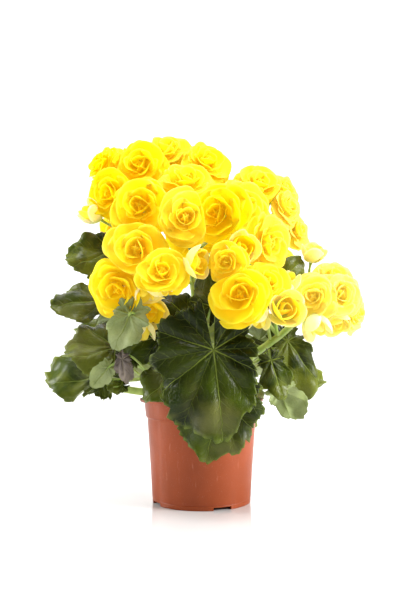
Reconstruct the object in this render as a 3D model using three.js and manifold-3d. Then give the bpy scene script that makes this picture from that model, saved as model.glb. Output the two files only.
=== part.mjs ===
// Potted begonia with double yellow blooms, in millimetres, +Z up
// The origin is the centre of the pot's foot, on the surface that it stands on
// Seen from the front, +X is to the right and +Y points away

import * as THREE from 'three';
import { mergeVertices } from 'three/addons/utils/BufferGeometryUtils.js';
import Module from 'manifold-3d';

const wasm = await Module();
wasm.setup();

// Gap between pieces that touch
const SEAT_GAP = 0.3;

// Pot: a moulded shell with a flat lip, a band below it and a notched standing ring
const POT = {
  height: 100,
  lipRadius: 60,
  lipThickness: 2.6,
  bandTopRadius: 55.6,
  bandFootRadius: 54.2,
  bandFootHeight: 83,
  wallTopRadius: 52.7,
  wallStep: 1.2,
  footRadius: 47.5,
  footRingWidth: 3,
  wall: 1.6,
  floorHeight: 3.2,
  floorThickness: 1.6,
  sides: 24,
};
const NOTCH = { count: 4, width: 18, height: 3, firstAngle: -65.5 };
const DRAIN = { count: 4, radius: 4, ring: 26, sides: 8, firstAngle: -20 };

// Soil: fills the pot to a little under the lip
const SOIL = { top: 88, crown: 5, holeDepth: 24 };

// Blades are sheets of one thickness
const PETAL_THICKNESS = 0.8;
const LEAF_THICKNESS = 0.9;

// Margin of a leaf, in shares of its length: a round body, a drawn-out tip, shallow lobes and teeth.
// The notch at the stalk is open by twice the sinus angle.
const MARGIN = {
  body: 0.64,
  bodyTowardsTip: 0.05,
  tip: 1,
  tipPerWidth: 0.69,
  tipPower: 3,
  lobe: 0.035,
  lobePitch: 21,
  tooth: 0.055,
  sinus: 13,
};
const LEAF_WAVES = { count: 5, phasePerWidth: 3 };
// Share of the way to the margin where a large leaf has a ring of points, and the fewest teeth of such a leaf
const LEAF_RING = { share: 0.55, fewestTeeth: 9 };

// The rows of heads and leaves give places as seen from the front:
// across and up in the plane of the pot's axis, then depth along the line of sight
const EYE_DISTANCE = 760;
const EYE_HEIGHT = 160;

// Stems: foot on the soil, then the forks that they pass, and their radius at both ends
const STEMS = {
  stem_left: { foot: [-13, 5], radius: [4.4, 2.4],
    forks: [[-24, 6, 165], [-48, 6, 240], [-58, 8, 285]] },
  stem_centre: { foot: [1, -9], radius: [4.4, 2.4],
    forks: [[-3, -14, 165], [-8, -26, 225], [2, -18, 285]] },
  stem_front: { foot: [-11, -16], radius: [4.2, 2.4],
    forks: [[-30, -32, 150], [-46, -46, 195], [-42, -52, 226]] },
  stem_right: { foot: [13, 6], radius: [4.4, 2.4],
    forks: [[30, 2, 165], [48, -6, 225], [54, 4, 270]] },
  stem_far_right: { foot: [17, -10], radius: [4.4, 2.6],
    forks: [[44, -30, 138], [78, -34, 165], [104, -12, 192]] },
  stem_back: { foot: [2, 19], radius: [4.4, 2.4],
    forks: [[2, 40, 165], [4, 52, 225], [-6, 44, 268]] },
};
const STEM_SIDES = 6;
const STEM_STEPS = 7;
const STEM_STRAIGHT = 8;
const LEAF_STALK = { sides: 4, narrowing: 0.8, pull: 0.35, rise: 0.6, steps: 3, longSpan: 60, longSteps: 4 };
const STALK = { radius: 1.6, radiusPerBreadth: 0.05, sides: 3, stepLength: 24, pull: 0.45 };
// A head's stalk leaves its stem at the nearest of these places to a point below the head
const STALK_ROOT = { lowest: 0.45, places: 12, drop: 0.45 };

// Whorls of petals, as shares of the head's breadth, with angles in degrees from the head's plane
const OUTER_WHORL = {
  petals: 5, firstTurn: 0, ringRadius: 0.08, ringHeight: 0.02, length: 0.46, width: 0.6, rootRise: 22,
  tipRise: -4, cupping: 0.9, twist: 8, outline: 'broad',
};
const BACK_WHORL = { ...OUTER_WHORL, petals: 4, width: 0.72 };
const INNER_WHORL = {
  petals: 3, firstTurn: 36, ringRadius: 0.06, ringHeight: 0.08, length: 0.38, width: 0.38, rootRise: 38,
  tipRise: 108, cupping: 5, twist: 4, outline: 'narrow',
};
const CUP_WHORL = {
  petals: 3, firstTurn: 0, ringRadius: 0.1, ringHeight: 0.03, length: 0.82, width: 0.8, rootRise: 18,
  tipRise: 104, cupping: 1.9, twist: 4, outline: 'broad',
};
const HEART_WHORL = {
  petals: 3, firstTurn: 60, ringRadius: 0.07, ringHeight: 0.1, length: 0.56, width: 0.46, rootRise: 42,
  tipRise: 108, cupping: 4, twist: 4, outline: 'narrow',
};
const BUD_WHORL = {
  petals: 3, firstTurn: 0, ringRadius: 0.16, ringHeight: 0.04, length: 1.15, width: 0.72, rootRise: 28,
  tipRise: 112, cupping: 2, twist: 6, outline: 'bud',
};

// Forms of a flower head: its whorls from the outside in, and how far the stalk's end lies behind its centre
const FORMS = {
  open: { whorls: [OUTER_WHORL, INNER_WHORL], setBack: 0.2 },
  back: { whorls: [BACK_WHORL, INNER_WHORL], setBack: 0.2 },
  half: { whorls: [CUP_WHORL, HEART_WHORL], setBack: 0.4 },
  bud: { whorls: [BUD_WHORL], setBack: 0.55 },
};

// Petal outlines without the root: shares of the half width and of the length
const OUTLINES = {
  broad: { rim: [[-0.62, 0.44], [-1.05, 0.8], [0, 1.03], [1.05, 0.8], [0.62, 0.44]], middle: [0, 0.62] },
  narrow: { rim: [[-0.9, 0.5], [-0.66, 1], [0.66, 1], [0.9, 0.5]] },
  bud: { rim: [[-0.9, 0.4], [-0.7, 0.8], [0, 1], [0.7, 0.8], [0.9, 0.4]] },
};

// Heads: node, place, breadth, yaw and pitch of the face, form and stem.
// Yaw 0 faces the front and turns towards +X, pitch 90 faces up. Heads of one node grow into each other.
const HEADS = [
  ['bloom_left_rear', [-99, 329, -10], 36, -60, 25, 'open', 'stem_left'],
  ['bloom_left_rear', [-87, 331, 13], 42, -35, 50, 'open', 'stem_left'],
  ['bloom_upper_left', [-60, 328, -27], 45, -10, 16, 'open', 'stem_left'],
  ['bloom_top', [-34, 342, 6], 47, 0, 42, 'open', 'stem_left'],
  ['bloom_top_right', [6, 331, -8], 46, 28, 34, 'open', 'stem_centre'],
  ['bloom_left_high', [-89, 299, -35], 48, -34, -4, 'open', 'stem_left'],
  ['bloom_left_high', [-108, 281, -22], 22, -60, 30, 'bud', 'stem_left'],
  ['bloom_mid_left', [-59, 287, -71], 50, -8, 6, 'open', 'stem_left'],
  ['bloom_centre', [-16, 276, -93], 46, 4, 4, 'open', 'stem_centre'],
  ['bloom_upper_centre', [-14, 313, -50], 46, 12, 44, 'open', 'stem_centre'],
  ['bloom_centre_right', [16, 281, -84], 46, -30, 4, 'open', 'stem_centre'],
  ['bloom_front_left', [-63, 245, -88], 52, -10, 2, 'open', 'stem_front'],
  ['bloom_left_low', [-82, 206, -74], 50, -16, -22, 'open', 'stem_front'],
  ['bloom_left_low', [-53, 203, -80], 19, 10, -70, 'bud', 'stem_front'],
  ['bloom_front_cup', [-38, 224, -108], 42, 4, 22, 'open', 'stem_front'],
  ['bloom_front_cup', [-38, 208, -103], 13, 20, -60, 'bud', 'stem_front'],
  ['bloom_front_cup', [-5, 232, -102], 27, 58, -8, 'half', 'stem_centre'],
  ['bloom_right_top', [57, 309, -10], 46, 16, 34, 'open', 'stem_right'],
  ['bloom_right_top', [81, 305, 10], 34, 45, 30, 'open', 'stem_right'],
  ['bloom_right_outer', [84, 286, -8], 38, 46, 14, 'open', 'stem_right'],
  ['bloom_right_outer', [95, 263, 4], 32, 50, 10, 'open', 'stem_right'],
  ['bloom_right_high', [42, 286, -43], 50, 24, 8, 'open', 'stem_right'],
  ['bloom_right_mid', [66, 250, -66], 50, 44, -8, 'open', 'stem_right'],
  ['bloom_centre_low', [38, 245, -92], 30, 20, 10, 'half', 'stem_centre'],
  ['bloom_centre_low', [24, 233, -104], 34, -14, -4, 'open', 'stem_centre'],
  ['bloom_front_right', [38, 201, -110], 50, -10, 4, 'open', 'stem_centre'],
  ['bloom_right_low', [64, 213, -82], 44, 22, 22, 'open', 'stem_far_right'],
  ['bloom_right_low', [85, 214, -64], 17, 10, 40, 'bud', 'stem_far_right'],
  ['bloom_right_bud', [82, 187, -92], 32, 14, 10, 'half', 'stem_far_right'],
  ['bloom_right_bud', [56, 178, -90], 22, 0, -70, 'bud', 'stem_far_right'],
  ['bloom_right_tall', [109, 242, -15], 25, 20, 62, 'half', 'stem_far_right'],
  ['bloom_far_right', [136, 201, -25], 44, 14, 8, 'open', 'stem_far_right'],
  ['bloom_far_right', [132, 174, -16], 26, 20, -50, 'half', 'stem_far_right'],
  ['bloom_far_right', [151, 183, -6], 34, 56, 0, 'open', 'stem_far_right'],
  ['bloom_far_right', [129, 219, -8], 38, 10, 38, 'open', 'stem_far_right'],
  ['bloom_right_inner', [109, 199, -46], 40, -18, 8, 'open', 'stem_far_right'],
  ['bloom_right_inner', [112, 170, -45], 24, 30, -62, 'bud', 'stem_far_right'],
  ['bloom_left_under', [-58, 165, -66], 21, 10, -80, 'bud', 'stem_front'],
  ['bloom_left_under', [-48, 185, -64], 30, 10, -40, 'half', 'stem_front'],
  ['bloom_back_left_top', [-70, 292, 62], 46, -145, 22, 'back', 'stem_left'],
  ['bloom_back_left_top', [-86, 266, 44], 44, -105, 4, 'back', 'stem_left'],
  ['bloom_back_crown', [-30, 306, 60], 46, -170, 42, 'back', 'stem_back'],
  ['bloom_back_crown', [9, 298, 64], 46, 165, 38, 'back', 'stem_back'],
  ['bloom_back_crown', [43, 284, 60], 46, 140, 26, 'back', 'stem_right'],
  ['bloom_back_left', [-62, 248, 84], 46, -150, 6, 'back', 'stem_back'],
  ['bloom_back_left', [-40, 216, 92], 42, -165, -12, 'back', 'stem_back'],
  ['bloom_back_right', [-14, 260, 98], 46, -175, 14, 'back', 'stem_back'],
  ['bloom_back_right', [23, 250, 95], 46, 165, 8, 'back', 'stem_back'],
  ['bloom_back_right', [10, 216, 100], 42, 175, -12, 'back', 'stem_back'],
  ['bloom_back_side', [66, 244, 66], 44, 130, 8, 'back', 'stem_right'],
  ['bloom_back_side', [85, 224, 54], 40, 110, 2, 'back', 'stem_far_right'],
].map(([node, at, breadth, yaw, pitch, form, stem]) => ({ node, at, breadth, yaw, pitch, form, stem }));

// Heads keep clear of their neighbours: each stays in its own cell, and only its outer reach is pressed in
const CELL = { clearance: 1.6, free: 0.66, sharpness: 8 };

// Each head is rolled about its own axis by one golden angle more than the head before it
const ROLL_STEP = 137.5;
const STEEP = 0.9;

// Leaves: hub where the stalk meets the blade, tip, yaw and pitch of the upper face, then shape.
// Wide is the share of the side lobes, lean makes one side larger, teeth is the count of marginal teeth.
const LEAVES = [
  { name: 'leaf_front_large', hub: [12, 147, -94], tip: [22, 60, -96], yaw: -4, pitch: 14,
    wide: 0.92, lean: 0.2, teeth: 12, bend: -0.06, wave: 0.05, stem: 'stem_centre', on: 0.33, stalk: 2.3 },
  { name: 'leaf_front_low', hub: [19, 101, -68], tip: [4, 38, -66], yaw: 4, pitch: 8,
    wide: 0.98, lean: -0.04, teeth: 12, bend: 0, wave: 0.05, stem: 'stem_far_right', on: 0.3, stalk: 2 },
  { name: 'leaf_rim_left', hub: [-26, 124, -72], tip: [-56, 98, -74], yaw: -20, pitch: 20,
    wide: 1, lean: 0.1, teeth: 8, bend: 0.04, wave: 0.05, stem: 'stem_front', on: 0.24, stalk: 1.7 },
  { name: 'leaf_left_large', hub: [-84, 149, -44], tip: [-135, 146, -54], yaw: -14, pitch: 34,
    wide: 1.02, lean: 0.1, teeth: 11, bend: 0.08, wave: 0.06, stem: 'stem_front', on: 0.36, stalk: 2 },
  { name: 'leaf_left_low', hub: [-98, 121, -12], tip: [-152, 128, 19], yaw: -24, pitch: 30,
    wide: 0.64, lean: 0.1, teeth: 11, bend: 0.05, wave: 0.06, stem: 'stem_left', on: 0.27, stalk: 2 },
  { name: 'leaf_left_small_pale', hub: [-91, 130, -70], tip: [-107, 111, -76], yaw: 165, pitch: 20,
    wide: 0.62, lean: 0, teeth: 6, bend: 0.05, wave: 0.03, stem: 'stem_front', on: 0.24, stalk: 1.2 },
  { name: 'leaf_left_upper', hub: [-94, 195, -30], tip: [-146, 191, -38], yaw: -8, pitch: 30,
    wide: 0.68, lean: 0.1, teeth: 10, bend: 0.06, wave: 0.06, stem: 'stem_left', on: 0.42, stalk: 1.8 },
  { name: 'leaf_left_top', hub: [-88, 243, -20], tip: [-135, 238, -26], yaw: -10, pitch: 22,
    wide: 0.8, lean: 0, teeth: 9, bend: 0.06, wave: 0.06, stem: 'stem_left', on: 0.62, stalk: 1.6 },
  { name: 'leaf_left_pale', hub: [-70, 182, -78], tip: [-85, 148, -82], yaw: 158, pitch: 20,
    wide: 0.8, lean: 0.1, teeth: 8, bend: 0.04, wave: 0.03, stem: 'stem_front', on: 0.56, stalk: 1.4 },
  { name: 'leaf_left_inner', hub: [-38, 162, -54], tip: [-80, 148, -52], yaw: -6, pitch: 6,
    wide: 0.8, lean: 0, teeth: 10, bend: 0.04, wave: 0.05, stem: 'stem_front', on: 0.36, stalk: 1.6 },
  { name: 'leaf_left_dry', hub: [-77, 138, -78], tip: [-74, 112, -80], yaw: -20, pitch: 6,
    wide: 0.6, lean: 0, teeth: 6, bend: 0.06, wave: 0.08, stem: 'stem_front', on: 0.26, stalk: 1.1 },
  { name: 'leaf_left_stalk', hub: [-78, 112, -50], tip: [-92, 109, -54], yaw: -10, pitch: 30,
    wide: 0.9, lean: 0, teeth: 6, bend: 0.04, wave: 0.04,
    stem: 'stem_front', on: 0.29, stalk: 4, grown: true },
  { name: 'leaf_right_hanging', hub: [68, 137, -60], tip: [79, 99, -62], yaw: 10, pitch: 4,
    wide: 0.5, lean: 0, teeth: 8, bend: 0.05, wave: 0.04, stem: 'stem_far_right', on: 0.42, stalk: 1.6 },
  { name: 'leaf_right_pale', hub: [77, 107, -44], tip: [101, 82, -48], yaw: 168, pitch: -12,
    wide: 0.7, lean: 0, teeth: 7, bend: 0.1, wave: 0.03, stem: 'stem_far_right', on: 0.34, stalk: 1.4 },
  { name: 'leaf_right_dark', hub: [84, 156, -22], tip: [104, 98, -28], yaw: 16, pitch: 12,
    wide: 0.5, lean: 0.1, teeth: 9, bend: 0.05, wave: 0.07, stem: 'stem_far_right', on: 0.48, stalk: 1.7 },
  { name: 'leaf_right_upper', hub: [70, 203, -30], tip: [98, 236, -22], yaw: 10, pitch: 14,
    wide: 0.8, lean: 0, teeth: 8, bend: 0.04, wave: 0.05, stem: 'stem_right', on: 0.55, stalk: 1.4 },
  { name: 'leaf_centre_upper', hub: [9, 190, -74], tip: [17, 228, -68], yaw: 0, pitch: 6,
    wide: 0.8, lean: 0, teeth: 8, bend: 0.04, wave: 0.04, stem: 'stem_centre', on: 0.5, stalk: 1.4 },
  { name: 'leaf_centre_left', hub: [-12, 178, -56], tip: [-38, 200, -48], yaw: -4, pitch: 26,
    wide: 0.8, lean: 0, teeth: 8, bend: 0.04, wave: 0.04, stem: 'stem_centre', on: 0.36, stalk: 1.4 },
  { name: 'leaf_back_left', hub: [-62, 150, 56], tip: [-112, 122, 84], yaw: -150, pitch: 40,
    wide: 1, lean: 0.1, teeth: 11, bend: 0.1, wave: 0.06, stem: 'stem_left', on: 0.3, stalk: 2 },
  { name: 'leaf_back_centre', hub: [-8, 160, 91], tip: [-20, 104, 122], yaw: 178, pitch: 34,
    wide: 1.1, lean: 0.1, teeth: 12, bend: 0.04, wave: 0.05, stem: 'stem_back', on: 0.4, stalk: 2.2 },
  { name: 'leaf_back_right', hub: [56, 156, 58], tip: [98, 124, 88], yaw: 150, pitch: 40,
    wide: 1.04, lean: -0.1, teeth: 11, bend: 0.1, wave: 0.06, stem: 'stem_right', on: 0.22, stalk: 2 },
  { name: 'leaf_back_low', hub: [14, 106, 72], tip: [20, 52, 76], yaw: 176, pitch: 8,
    wide: 1.16, lean: 0.1, teeth: 11, bend: 0, wave: 0.05, stem: 'stem_back', on: 0.3, stalk: 2 },
  { name: 'leaf_side_left', hub: [-76, 184, 26], tip: [-122, 166, 48], yaw: -110, pitch: 44,
    wide: 0.96, lean: 0, teeth: 9, bend: 0.1, wave: 0.06, stem: 'stem_left', on: 0.5, stalk: 1.8 },
  { name: 'leaf_side_right', hub: [76, 144, 16], tip: [124, 120, 30], yaw: 80, pitch: 44,
    wide: 0.96, lean: 0, teeth: 9, bend: 0.1, wave: 0.06, stem: 'stem_right', on: 0.4, stalk: 1.8 },
];

// Finishes
const FINISHES = {
  pot: { color: 0xb4573a, roughness: 0.5, metalness: 0 },
  soil: { color: 0x2b1d14, roughness: 1, metalness: 0 },
  stem: { color: 0x9cb453, roughness: 0.5, metalness: 0 },
  leaf: { color: 0x35521c, roughness: 0.4, metalness: 0 },
  leafUnder: { color: 0xa3b56c, roughness: 0.6, metalness: 0 },
  leafDry: { color: 0x77664f, roughness: 0.8, metalness: 0 },
  bloom: { color: 0xffd60a, roughness: 0.5, metalness: 0 },
  bud: { color: 0xf3e48a, roughness: 0.5, metalness: 0 },
};

// Joins equal corners, drops flat triangles and turns the faces outwards
function weld(geometry) {
  const bare = geometry.clone();
  bare.deleteAttribute('normal');
  bare.deleteAttribute('uv');
  const merged = mergeVertices(bare, 1e-4);
  const corner = (i) => new THREE.Vector3().fromBufferAttribute(merged.attributes.position, i);
  const kept = [];
  let volume = 0;
  for (let i = 0; i < merged.index.count; i += 3) {
    const [a, b, c] = [0, 1, 2].map((k) => merged.index.getX(i + k));
    if (a === b || b === c || c === a) continue;
    kept.push([a, b, c]);
    volume += corner(a).dot(corner(b).cross(corner(c)));
  }
  merged.setIndex(kept.flatMap(([a, b, c]) => (volume > 0 ? [a, b, c] : [a, c, b])));
  return merged;
}

function solidOf(geometry) {
  const closed = weld(geometry);
  const mesh = new wasm.Mesh({
    numProp: 3,
    vertProperties: Float32Array.from(closed.attributes.position.array),
    triVerts: Uint32Array.from(closed.index.array),
  });
  return new wasm.Manifold(mesh);
}

function fused(solids) {
  return solids.reduce((whole, piece) => whole.add(piece));
}

// Keeps the largest body, which fills a hollow that fusing sealed and drops loose scraps
function wholeBody(solid) {
  return solid.decompose().reduce((best, piece) => (piece.volume() > best.volume() ? piece : best));
}

function geometryOf(solid) {
  const mesh = solid.getMesh();
  const geometry = new THREE.BufferGeometry();
  geometry.setAttribute('position', new THREE.BufferAttribute(Float32Array.from(mesh.vertProperties), 3));
  geometry.setIndex(new THREE.BufferAttribute(Uint32Array.from(mesh.triVerts), 1));
  geometry.computeVertexNormals();
  return geometry;
}

// A round bar along a curve, narrowing evenly from one end to the other
function bar(curve, startRadius, endRadius, sides, steps) {
  const section = new THREE.Shape();
  for (let i = 0; i < sides; i += 1) {
    const angle = (2 * Math.PI * i) / sides;
    const [x, y] = [startRadius * Math.cos(angle), startRadius * Math.sin(angle)];
    if (i === 0) section.moveTo(x, y);
    else section.lineTo(x, y);
  }
  section.closePath();
  const geometry = new THREE.ExtrudeGeometry(section, { steps, extrudePath: curve, bevelEnabled: false });
  const centres = curve.getSpacedPoints(steps);
  const corners = geometry.attributes.position;
  const corner = new THREE.Vector3();
  for (let i = 0; i < corners.count; i += 1) {
    corner.fromBufferAttribute(corners, i);
    const gaps = centres.map((centre) => centre.distanceTo(corner));
    const ring = gaps.indexOf(Math.min(...gaps));
    const share = 1 + ((endRadius / startRadius - 1) * ring) / steps;
    corner.sub(centres[ring]).multiplyScalar(share).add(centres[ring]);
    corners.setXYZ(i, corner.x, corner.y, corner.z);
  }
  return geometry;
}

function turned(profile, sides) {
  const points = profile.map(([radius, height]) => new THREE.Vector2(radius, height));
  return new THREE.LatheGeometry(points, sides).rotateX(Math.PI / 2);
}

// The two skins of a thin sheet and its rim, from the points and triangles of its middle surface.
// Both skins are split alike. Corners of the upper skin come first, then those of the lower one.
function skins(points, faces, thickness) {
  const normals = points.map(() => new THREE.Vector3());
  for (const face of faces) {
    const [a, b, c] = face.map((i) => points[i]);
    const normal = b.clone().sub(a).cross(c.clone().sub(a)).normalize();
    face.forEach((i, k) => {
      const one = points[face[(k + 1) % 3]].clone().sub(points[i]);
      const other = points[face[(k + 2) % 3]].clone().sub(points[i]);
      normals[i].addScaledVector(normal, one.angleTo(other));
    });
  }
  normals.forEach((normal) => normal.setLength(thickness / 2));
  const count = points.length;
  const corners = [
    ...points.map((point, i) => point.clone().add(normals[i])),
    ...points.map((point, i) => point.clone().sub(normals[i])),
  ];
  const edges = new Map();
  faces.forEach(([a, b, c]) => [[a, b], [b, c], [c, a]].forEach((edge) => edges.set(edge.join(), edge)));
  const rim = [...edges.values()]
    .filter(([s, e]) => !edges.has(`${e},${s}`))
    .flatMap(([s, e]) => [[e, s, s + count], [e, s + count, e + count]]);
  return { corners, upper: faces, lower: faces.map(([a, b, c]) => [a + count, c + count, b + count]), rim };
}

function meshOf(corners, triangles) {
  const geometry = new THREE.BufferGeometry();
  geometry.setFromPoints(corners);
  geometry.setIndex(triangles.flat());
  return geometry;
}

function sheet(points, faces, thickness) {
  const { corners, upper, lower, rim } = skins(points, faces, thickness);
  return meshOf(corners, [...upper, ...lower, ...rim]);
}

function radians(degrees) {
  return (degrees * Math.PI) / 180;
}

function facing(yaw, pitch) {
  const flat = Math.cos(radians(pitch));
  return new THREE.Vector3(
    Math.sin(radians(yaw)) * flat,
    -Math.cos(radians(yaw)) * flat,
    Math.sin(radians(pitch)),
  );
}

// Turns a place seen from the front into a point of the object
function seen([across, up, depth]) {
  const share = (EYE_DISTANCE + depth) / EYE_DISTANCE;
  return new THREE.Vector3(across * share, depth, EYE_HEIGHT + (up - EYE_HEIGHT) * share);
}

function potSolid() {
  const floorTop = POT.floorHeight + POT.floorThickness;
  const innerFoot = POT.footRadius - POT.wall;
  const profile = [
    [0, POT.floorHeight],
    [POT.footRadius - POT.footRingWidth, POT.floorHeight],
    [POT.footRadius - POT.footRingWidth, 0],
    [POT.footRadius, 0],
    [POT.wallTopRadius, POT.bandFootHeight - POT.wallStep],
    [POT.bandFootRadius, POT.bandFootHeight],
    [POT.bandTopRadius, POT.height - POT.lipThickness],
    [POT.lipRadius, POT.height - POT.lipThickness],
    [POT.lipRadius, POT.height],
    [POT.bandTopRadius - POT.wall, POT.height],
    [POT.wallTopRadius - POT.wall, POT.bandFootHeight - POT.wallStep],
    [innerFoot, floorTop],
    [0, floorTop],
  ];
  const cuts = [];
  for (let i = 0; i < NOTCH.count; i += 1) {
    const angle = radians(NOTCH.firstAngle + (360 / NOTCH.count) * i);
    const notch = new THREE.BoxGeometry(3 * POT.footRingWidth, NOTCH.width, 2 * NOTCH.height);
    notch.translate(POT.footRadius - POT.footRingWidth / 2, 0, 0);
    cuts.push(solidOf(notch.rotateZ(angle)));
  }
  for (let i = 0; i < DRAIN.count; i += 1) {
    const angle = radians(DRAIN.firstAngle + (360 / DRAIN.count) * i);
    const drain = new THREE.CylinderGeometry(DRAIN.radius, DRAIN.radius, 4 * POT.floorThickness, DRAIN.sides);
    drain.rotateX(Math.PI / 2).translate(DRAIN.ring, 0, POT.floorHeight).rotateZ(angle);
    cuts.push(solidOf(drain));
  }
  return solidOf(turned(profile, POT.sides)).subtract(fused(cuts));
}

// The soil follows the inside of the pot, side by side with it
function soilSolid() {
  const floor = POT.floorHeight + POT.floorThickness + SEAT_GAP;
  const inset = POT.wall + SEAT_GAP / Math.cos(Math.PI / POT.sides);
  const edge = SOIL.top - SOIL.crown;
  const profile = [
    [0, floor],
    [POT.footRadius - inset, floor],
    [POT.wallTopRadius - inset, edge - POT.wallStep],
    [0, SOIL.top],
  ];
  const holes = Object.values(STEMS).map((stem) => {
    const radius = (stem.radius[0] + SEAT_GAP) / Math.cos(Math.PI / STEM_SIDES);
    const hole = new THREE.CylinderGeometry(radius, radius, 2 * SOIL.holeDepth, STEM_SIDES);
    return solidOf(hole.rotateX(Math.PI / 2).translate(stem.foot[0], stem.foot[1], SOIL.top));
  });
  return solidOf(turned(profile, POT.sides)).subtract(fused(holes));
}

function stemCurve(stem) {
  const [x, y] = stem.foot;
  const footHeight = SOIL.top - SOIL.holeDepth + SEAT_GAP;
  const points = [[x, y, footHeight], [x, y, SOIL.top], [x, y, SOIL.top + STEM_STRAIGHT], ...stem.forks];
  return new THREE.CatmullRomCurve3(points.map((point) => new THREE.Vector3(...point)));
}

// Place on a stem at a share of its length, with the stem's direction and radius there
function stemPlace(stem, share) {
  const joints = stemCurve(stem).getSpacedPoints(STEM_STEPS);
  const index = Math.min(Math.floor(share * STEM_STEPS), STEM_STEPS - 1);
  const [from, to] = [joints[index], joints[index + 1]];
  const point = from.clone().lerp(to, share * STEM_STEPS - index);
  const radius = stem.radius[0] + (stem.radius[1] - stem.radius[0]) * share;
  return { point, axis: to.clone().sub(from).normalize(), radius };
}

// Local axes of a head: two across its face and one out of it
function headFrame(head, order) {
  const out = facing(head.yaw, head.pitch);
  const helper = Math.abs(out.z) > STEEP ? new THREE.Vector3(0, 1, 0) : new THREE.Vector3(0, 0, 1);
  const right = helper.clone().cross(out).normalize();
  right.applyAxisAngle(out, radians(ROLL_STEP * order));
  return { right, up: out.clone().cross(right), out };
}

// Point of a petal: across runs from -1 to 1, along from 0 at the root to 1 at the tip
function petalPoint(whorl, breadth, turn, across, along) {
  const start = radians(whorl.rootRise);
  const sweep = radians(whorl.tipRise - whorl.rootRise);
  const rise = start + sweep * along;
  const length = whorl.length * breadth;
  const reach = whorl.ringRadius * breadth + (length * (Math.sin(rise) - Math.sin(start))) / sweep;
  const height = whorl.ringHeight * breadth + (length * (Math.cos(start) - Math.cos(rise))) / sweep;
  const curl = whorl.cupping / breadth;
  const offset = (across * whorl.width * breadth) / 2;
  const side = Math.sin(curl * offset) / curl;
  const lift = (1 - Math.cos(curl * offset)) / curl;
  const twist = radians(whorl.twist);
  const flatSide = side * Math.cos(twist);
  const raised = lift + side * Math.sin(twist);
  const radial = reach - raised * Math.sin(rise);
  return new THREE.Vector3(
    radial * Math.cos(turn) - flatSide * Math.sin(turn),
    radial * Math.sin(turn) + flatSide * Math.cos(turn),
    height + raised * Math.cos(rise),
  );
}

// Walls between a head and each head of another node
function cellWalls(head) {
  const centre = seen(head.at);
  return HEADS.filter((other) => other.node !== head.node).map((other) => {
    const towards = seen(other.at).sub(centre);
    const gap = towards.length();
    const share = head.breadth / (head.breadth + other.breadth);
    return { out: towards.normalize(), limit: gap * share - CELL.clearance / 2 };
  });
}

// Presses a point back towards the head's centre as it nears the walls of the cell
function pressed(point, centre, walls) {
  const away = point.clone().sub(centre);
  const reach = away.length();
  if (reach === 0) return point;
  const direction = away.clone().divideScalar(reach);
  const closeness = walls.reduce((sum, wall) => {
    const lean = Math.max(0, direction.dot(wall.out)) / wall.limit;
    return sum + lean ** CELL.sharpness;
  }, 0);
  const share = reach * closeness ** (1 / CELL.sharpness);
  if (share <= CELL.free) return point;
  const room = 1 - CELL.free;
  const kept = CELL.free + room * (1 - Math.exp((CELL.free - share) / room));
  return away.multiplyScalar(kept / share).add(centre);
}

function headBase(head) {
  const out = facing(head.yaw, head.pitch);
  return seen(head.at).addScaledVector(out, -FORMS[head.form].setBack * head.breadth);
}

// A whorl is one sheet: a small ring in the middle, with a petal growing from each of its sides.
// The ring's corners and triangles come first.
function whorlSkins(whorl, breadth, place) {
  const { rim, middle } = OUTLINES[whorl.outline];
  const marks = middle ? [...rim, middle] : rim;
  const step = (2 * Math.PI) / whorl.petals;
  const radius = whorl.ringRadius * breadth;
  const points = [];
  const faces = [];
  for (let i = 0; i < whorl.petals; i += 1) {
    const angle = radians(whorl.firstTurn) + step * (i - 0.5);
    const [x, y] = [radius * Math.cos(angle), radius * Math.sin(angle)];
    points.push(new THREE.Vector3(x, y, whorl.ringHeight * breadth));
    if (i > 1) faces.push([0, i - 1, i]);
  }
  for (let i = 0; i < whorl.petals; i += 1) {
    const turn = radians(whorl.firstTurn) + step * i;
    const first = points.length;
    points.push(...marks.map(([across, along]) => petalPoint(whorl, breadth, turn, across, along)));
    const loop = [i, ...rim.map((_, k) => first + k), (i + 1) % whorl.petals];
    if (middle) {
      loop.forEach((corner, k) => faces.push([first + rim.length, corner, loop[(k + 1) % loop.length]]));
    } else {
      for (let k = 1; k < loop.length - 1; k += 1) faces.push([loop[0], loop[k], loop[k + 1]]);
    }
  }
  return skins(points.map(place), faces, PETAL_THICKNESS);
}

// Triangles of the neck between the ring of one whorl and the smaller ring of the next one
function neck(low, high) {
  const triangles = [];
  const turnOf = (ring, k) => ring.firstTurn + (360 * (k - 0.5)) / ring.count;
  const corner = (ring, k) => ring.first + ((k % ring.count) + ring.count) % ring.count;
  let i = 0;
  let j = Math.round(((turnOf(low, 0) - turnOf(high, 0)) * high.count) / 360);
  const [lastI, lastJ] = [low.count, j + high.count];
  while (i < lastI || j < lastJ) {
    const stepLow = j === lastJ || (i < lastI && turnOf(low, i + 1) <= turnOf(high, j + 1));
    if (stepLow) {
      triangles.push([corner(low, i), corner(low, i + 1), corner(high, j)]);
      i += 1;
    } else {
      triangles.push([corner(low, i), corner(high, j + 1), corner(high, j)]);
      j += 1;
    }
  }
  return triangles;
}

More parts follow.
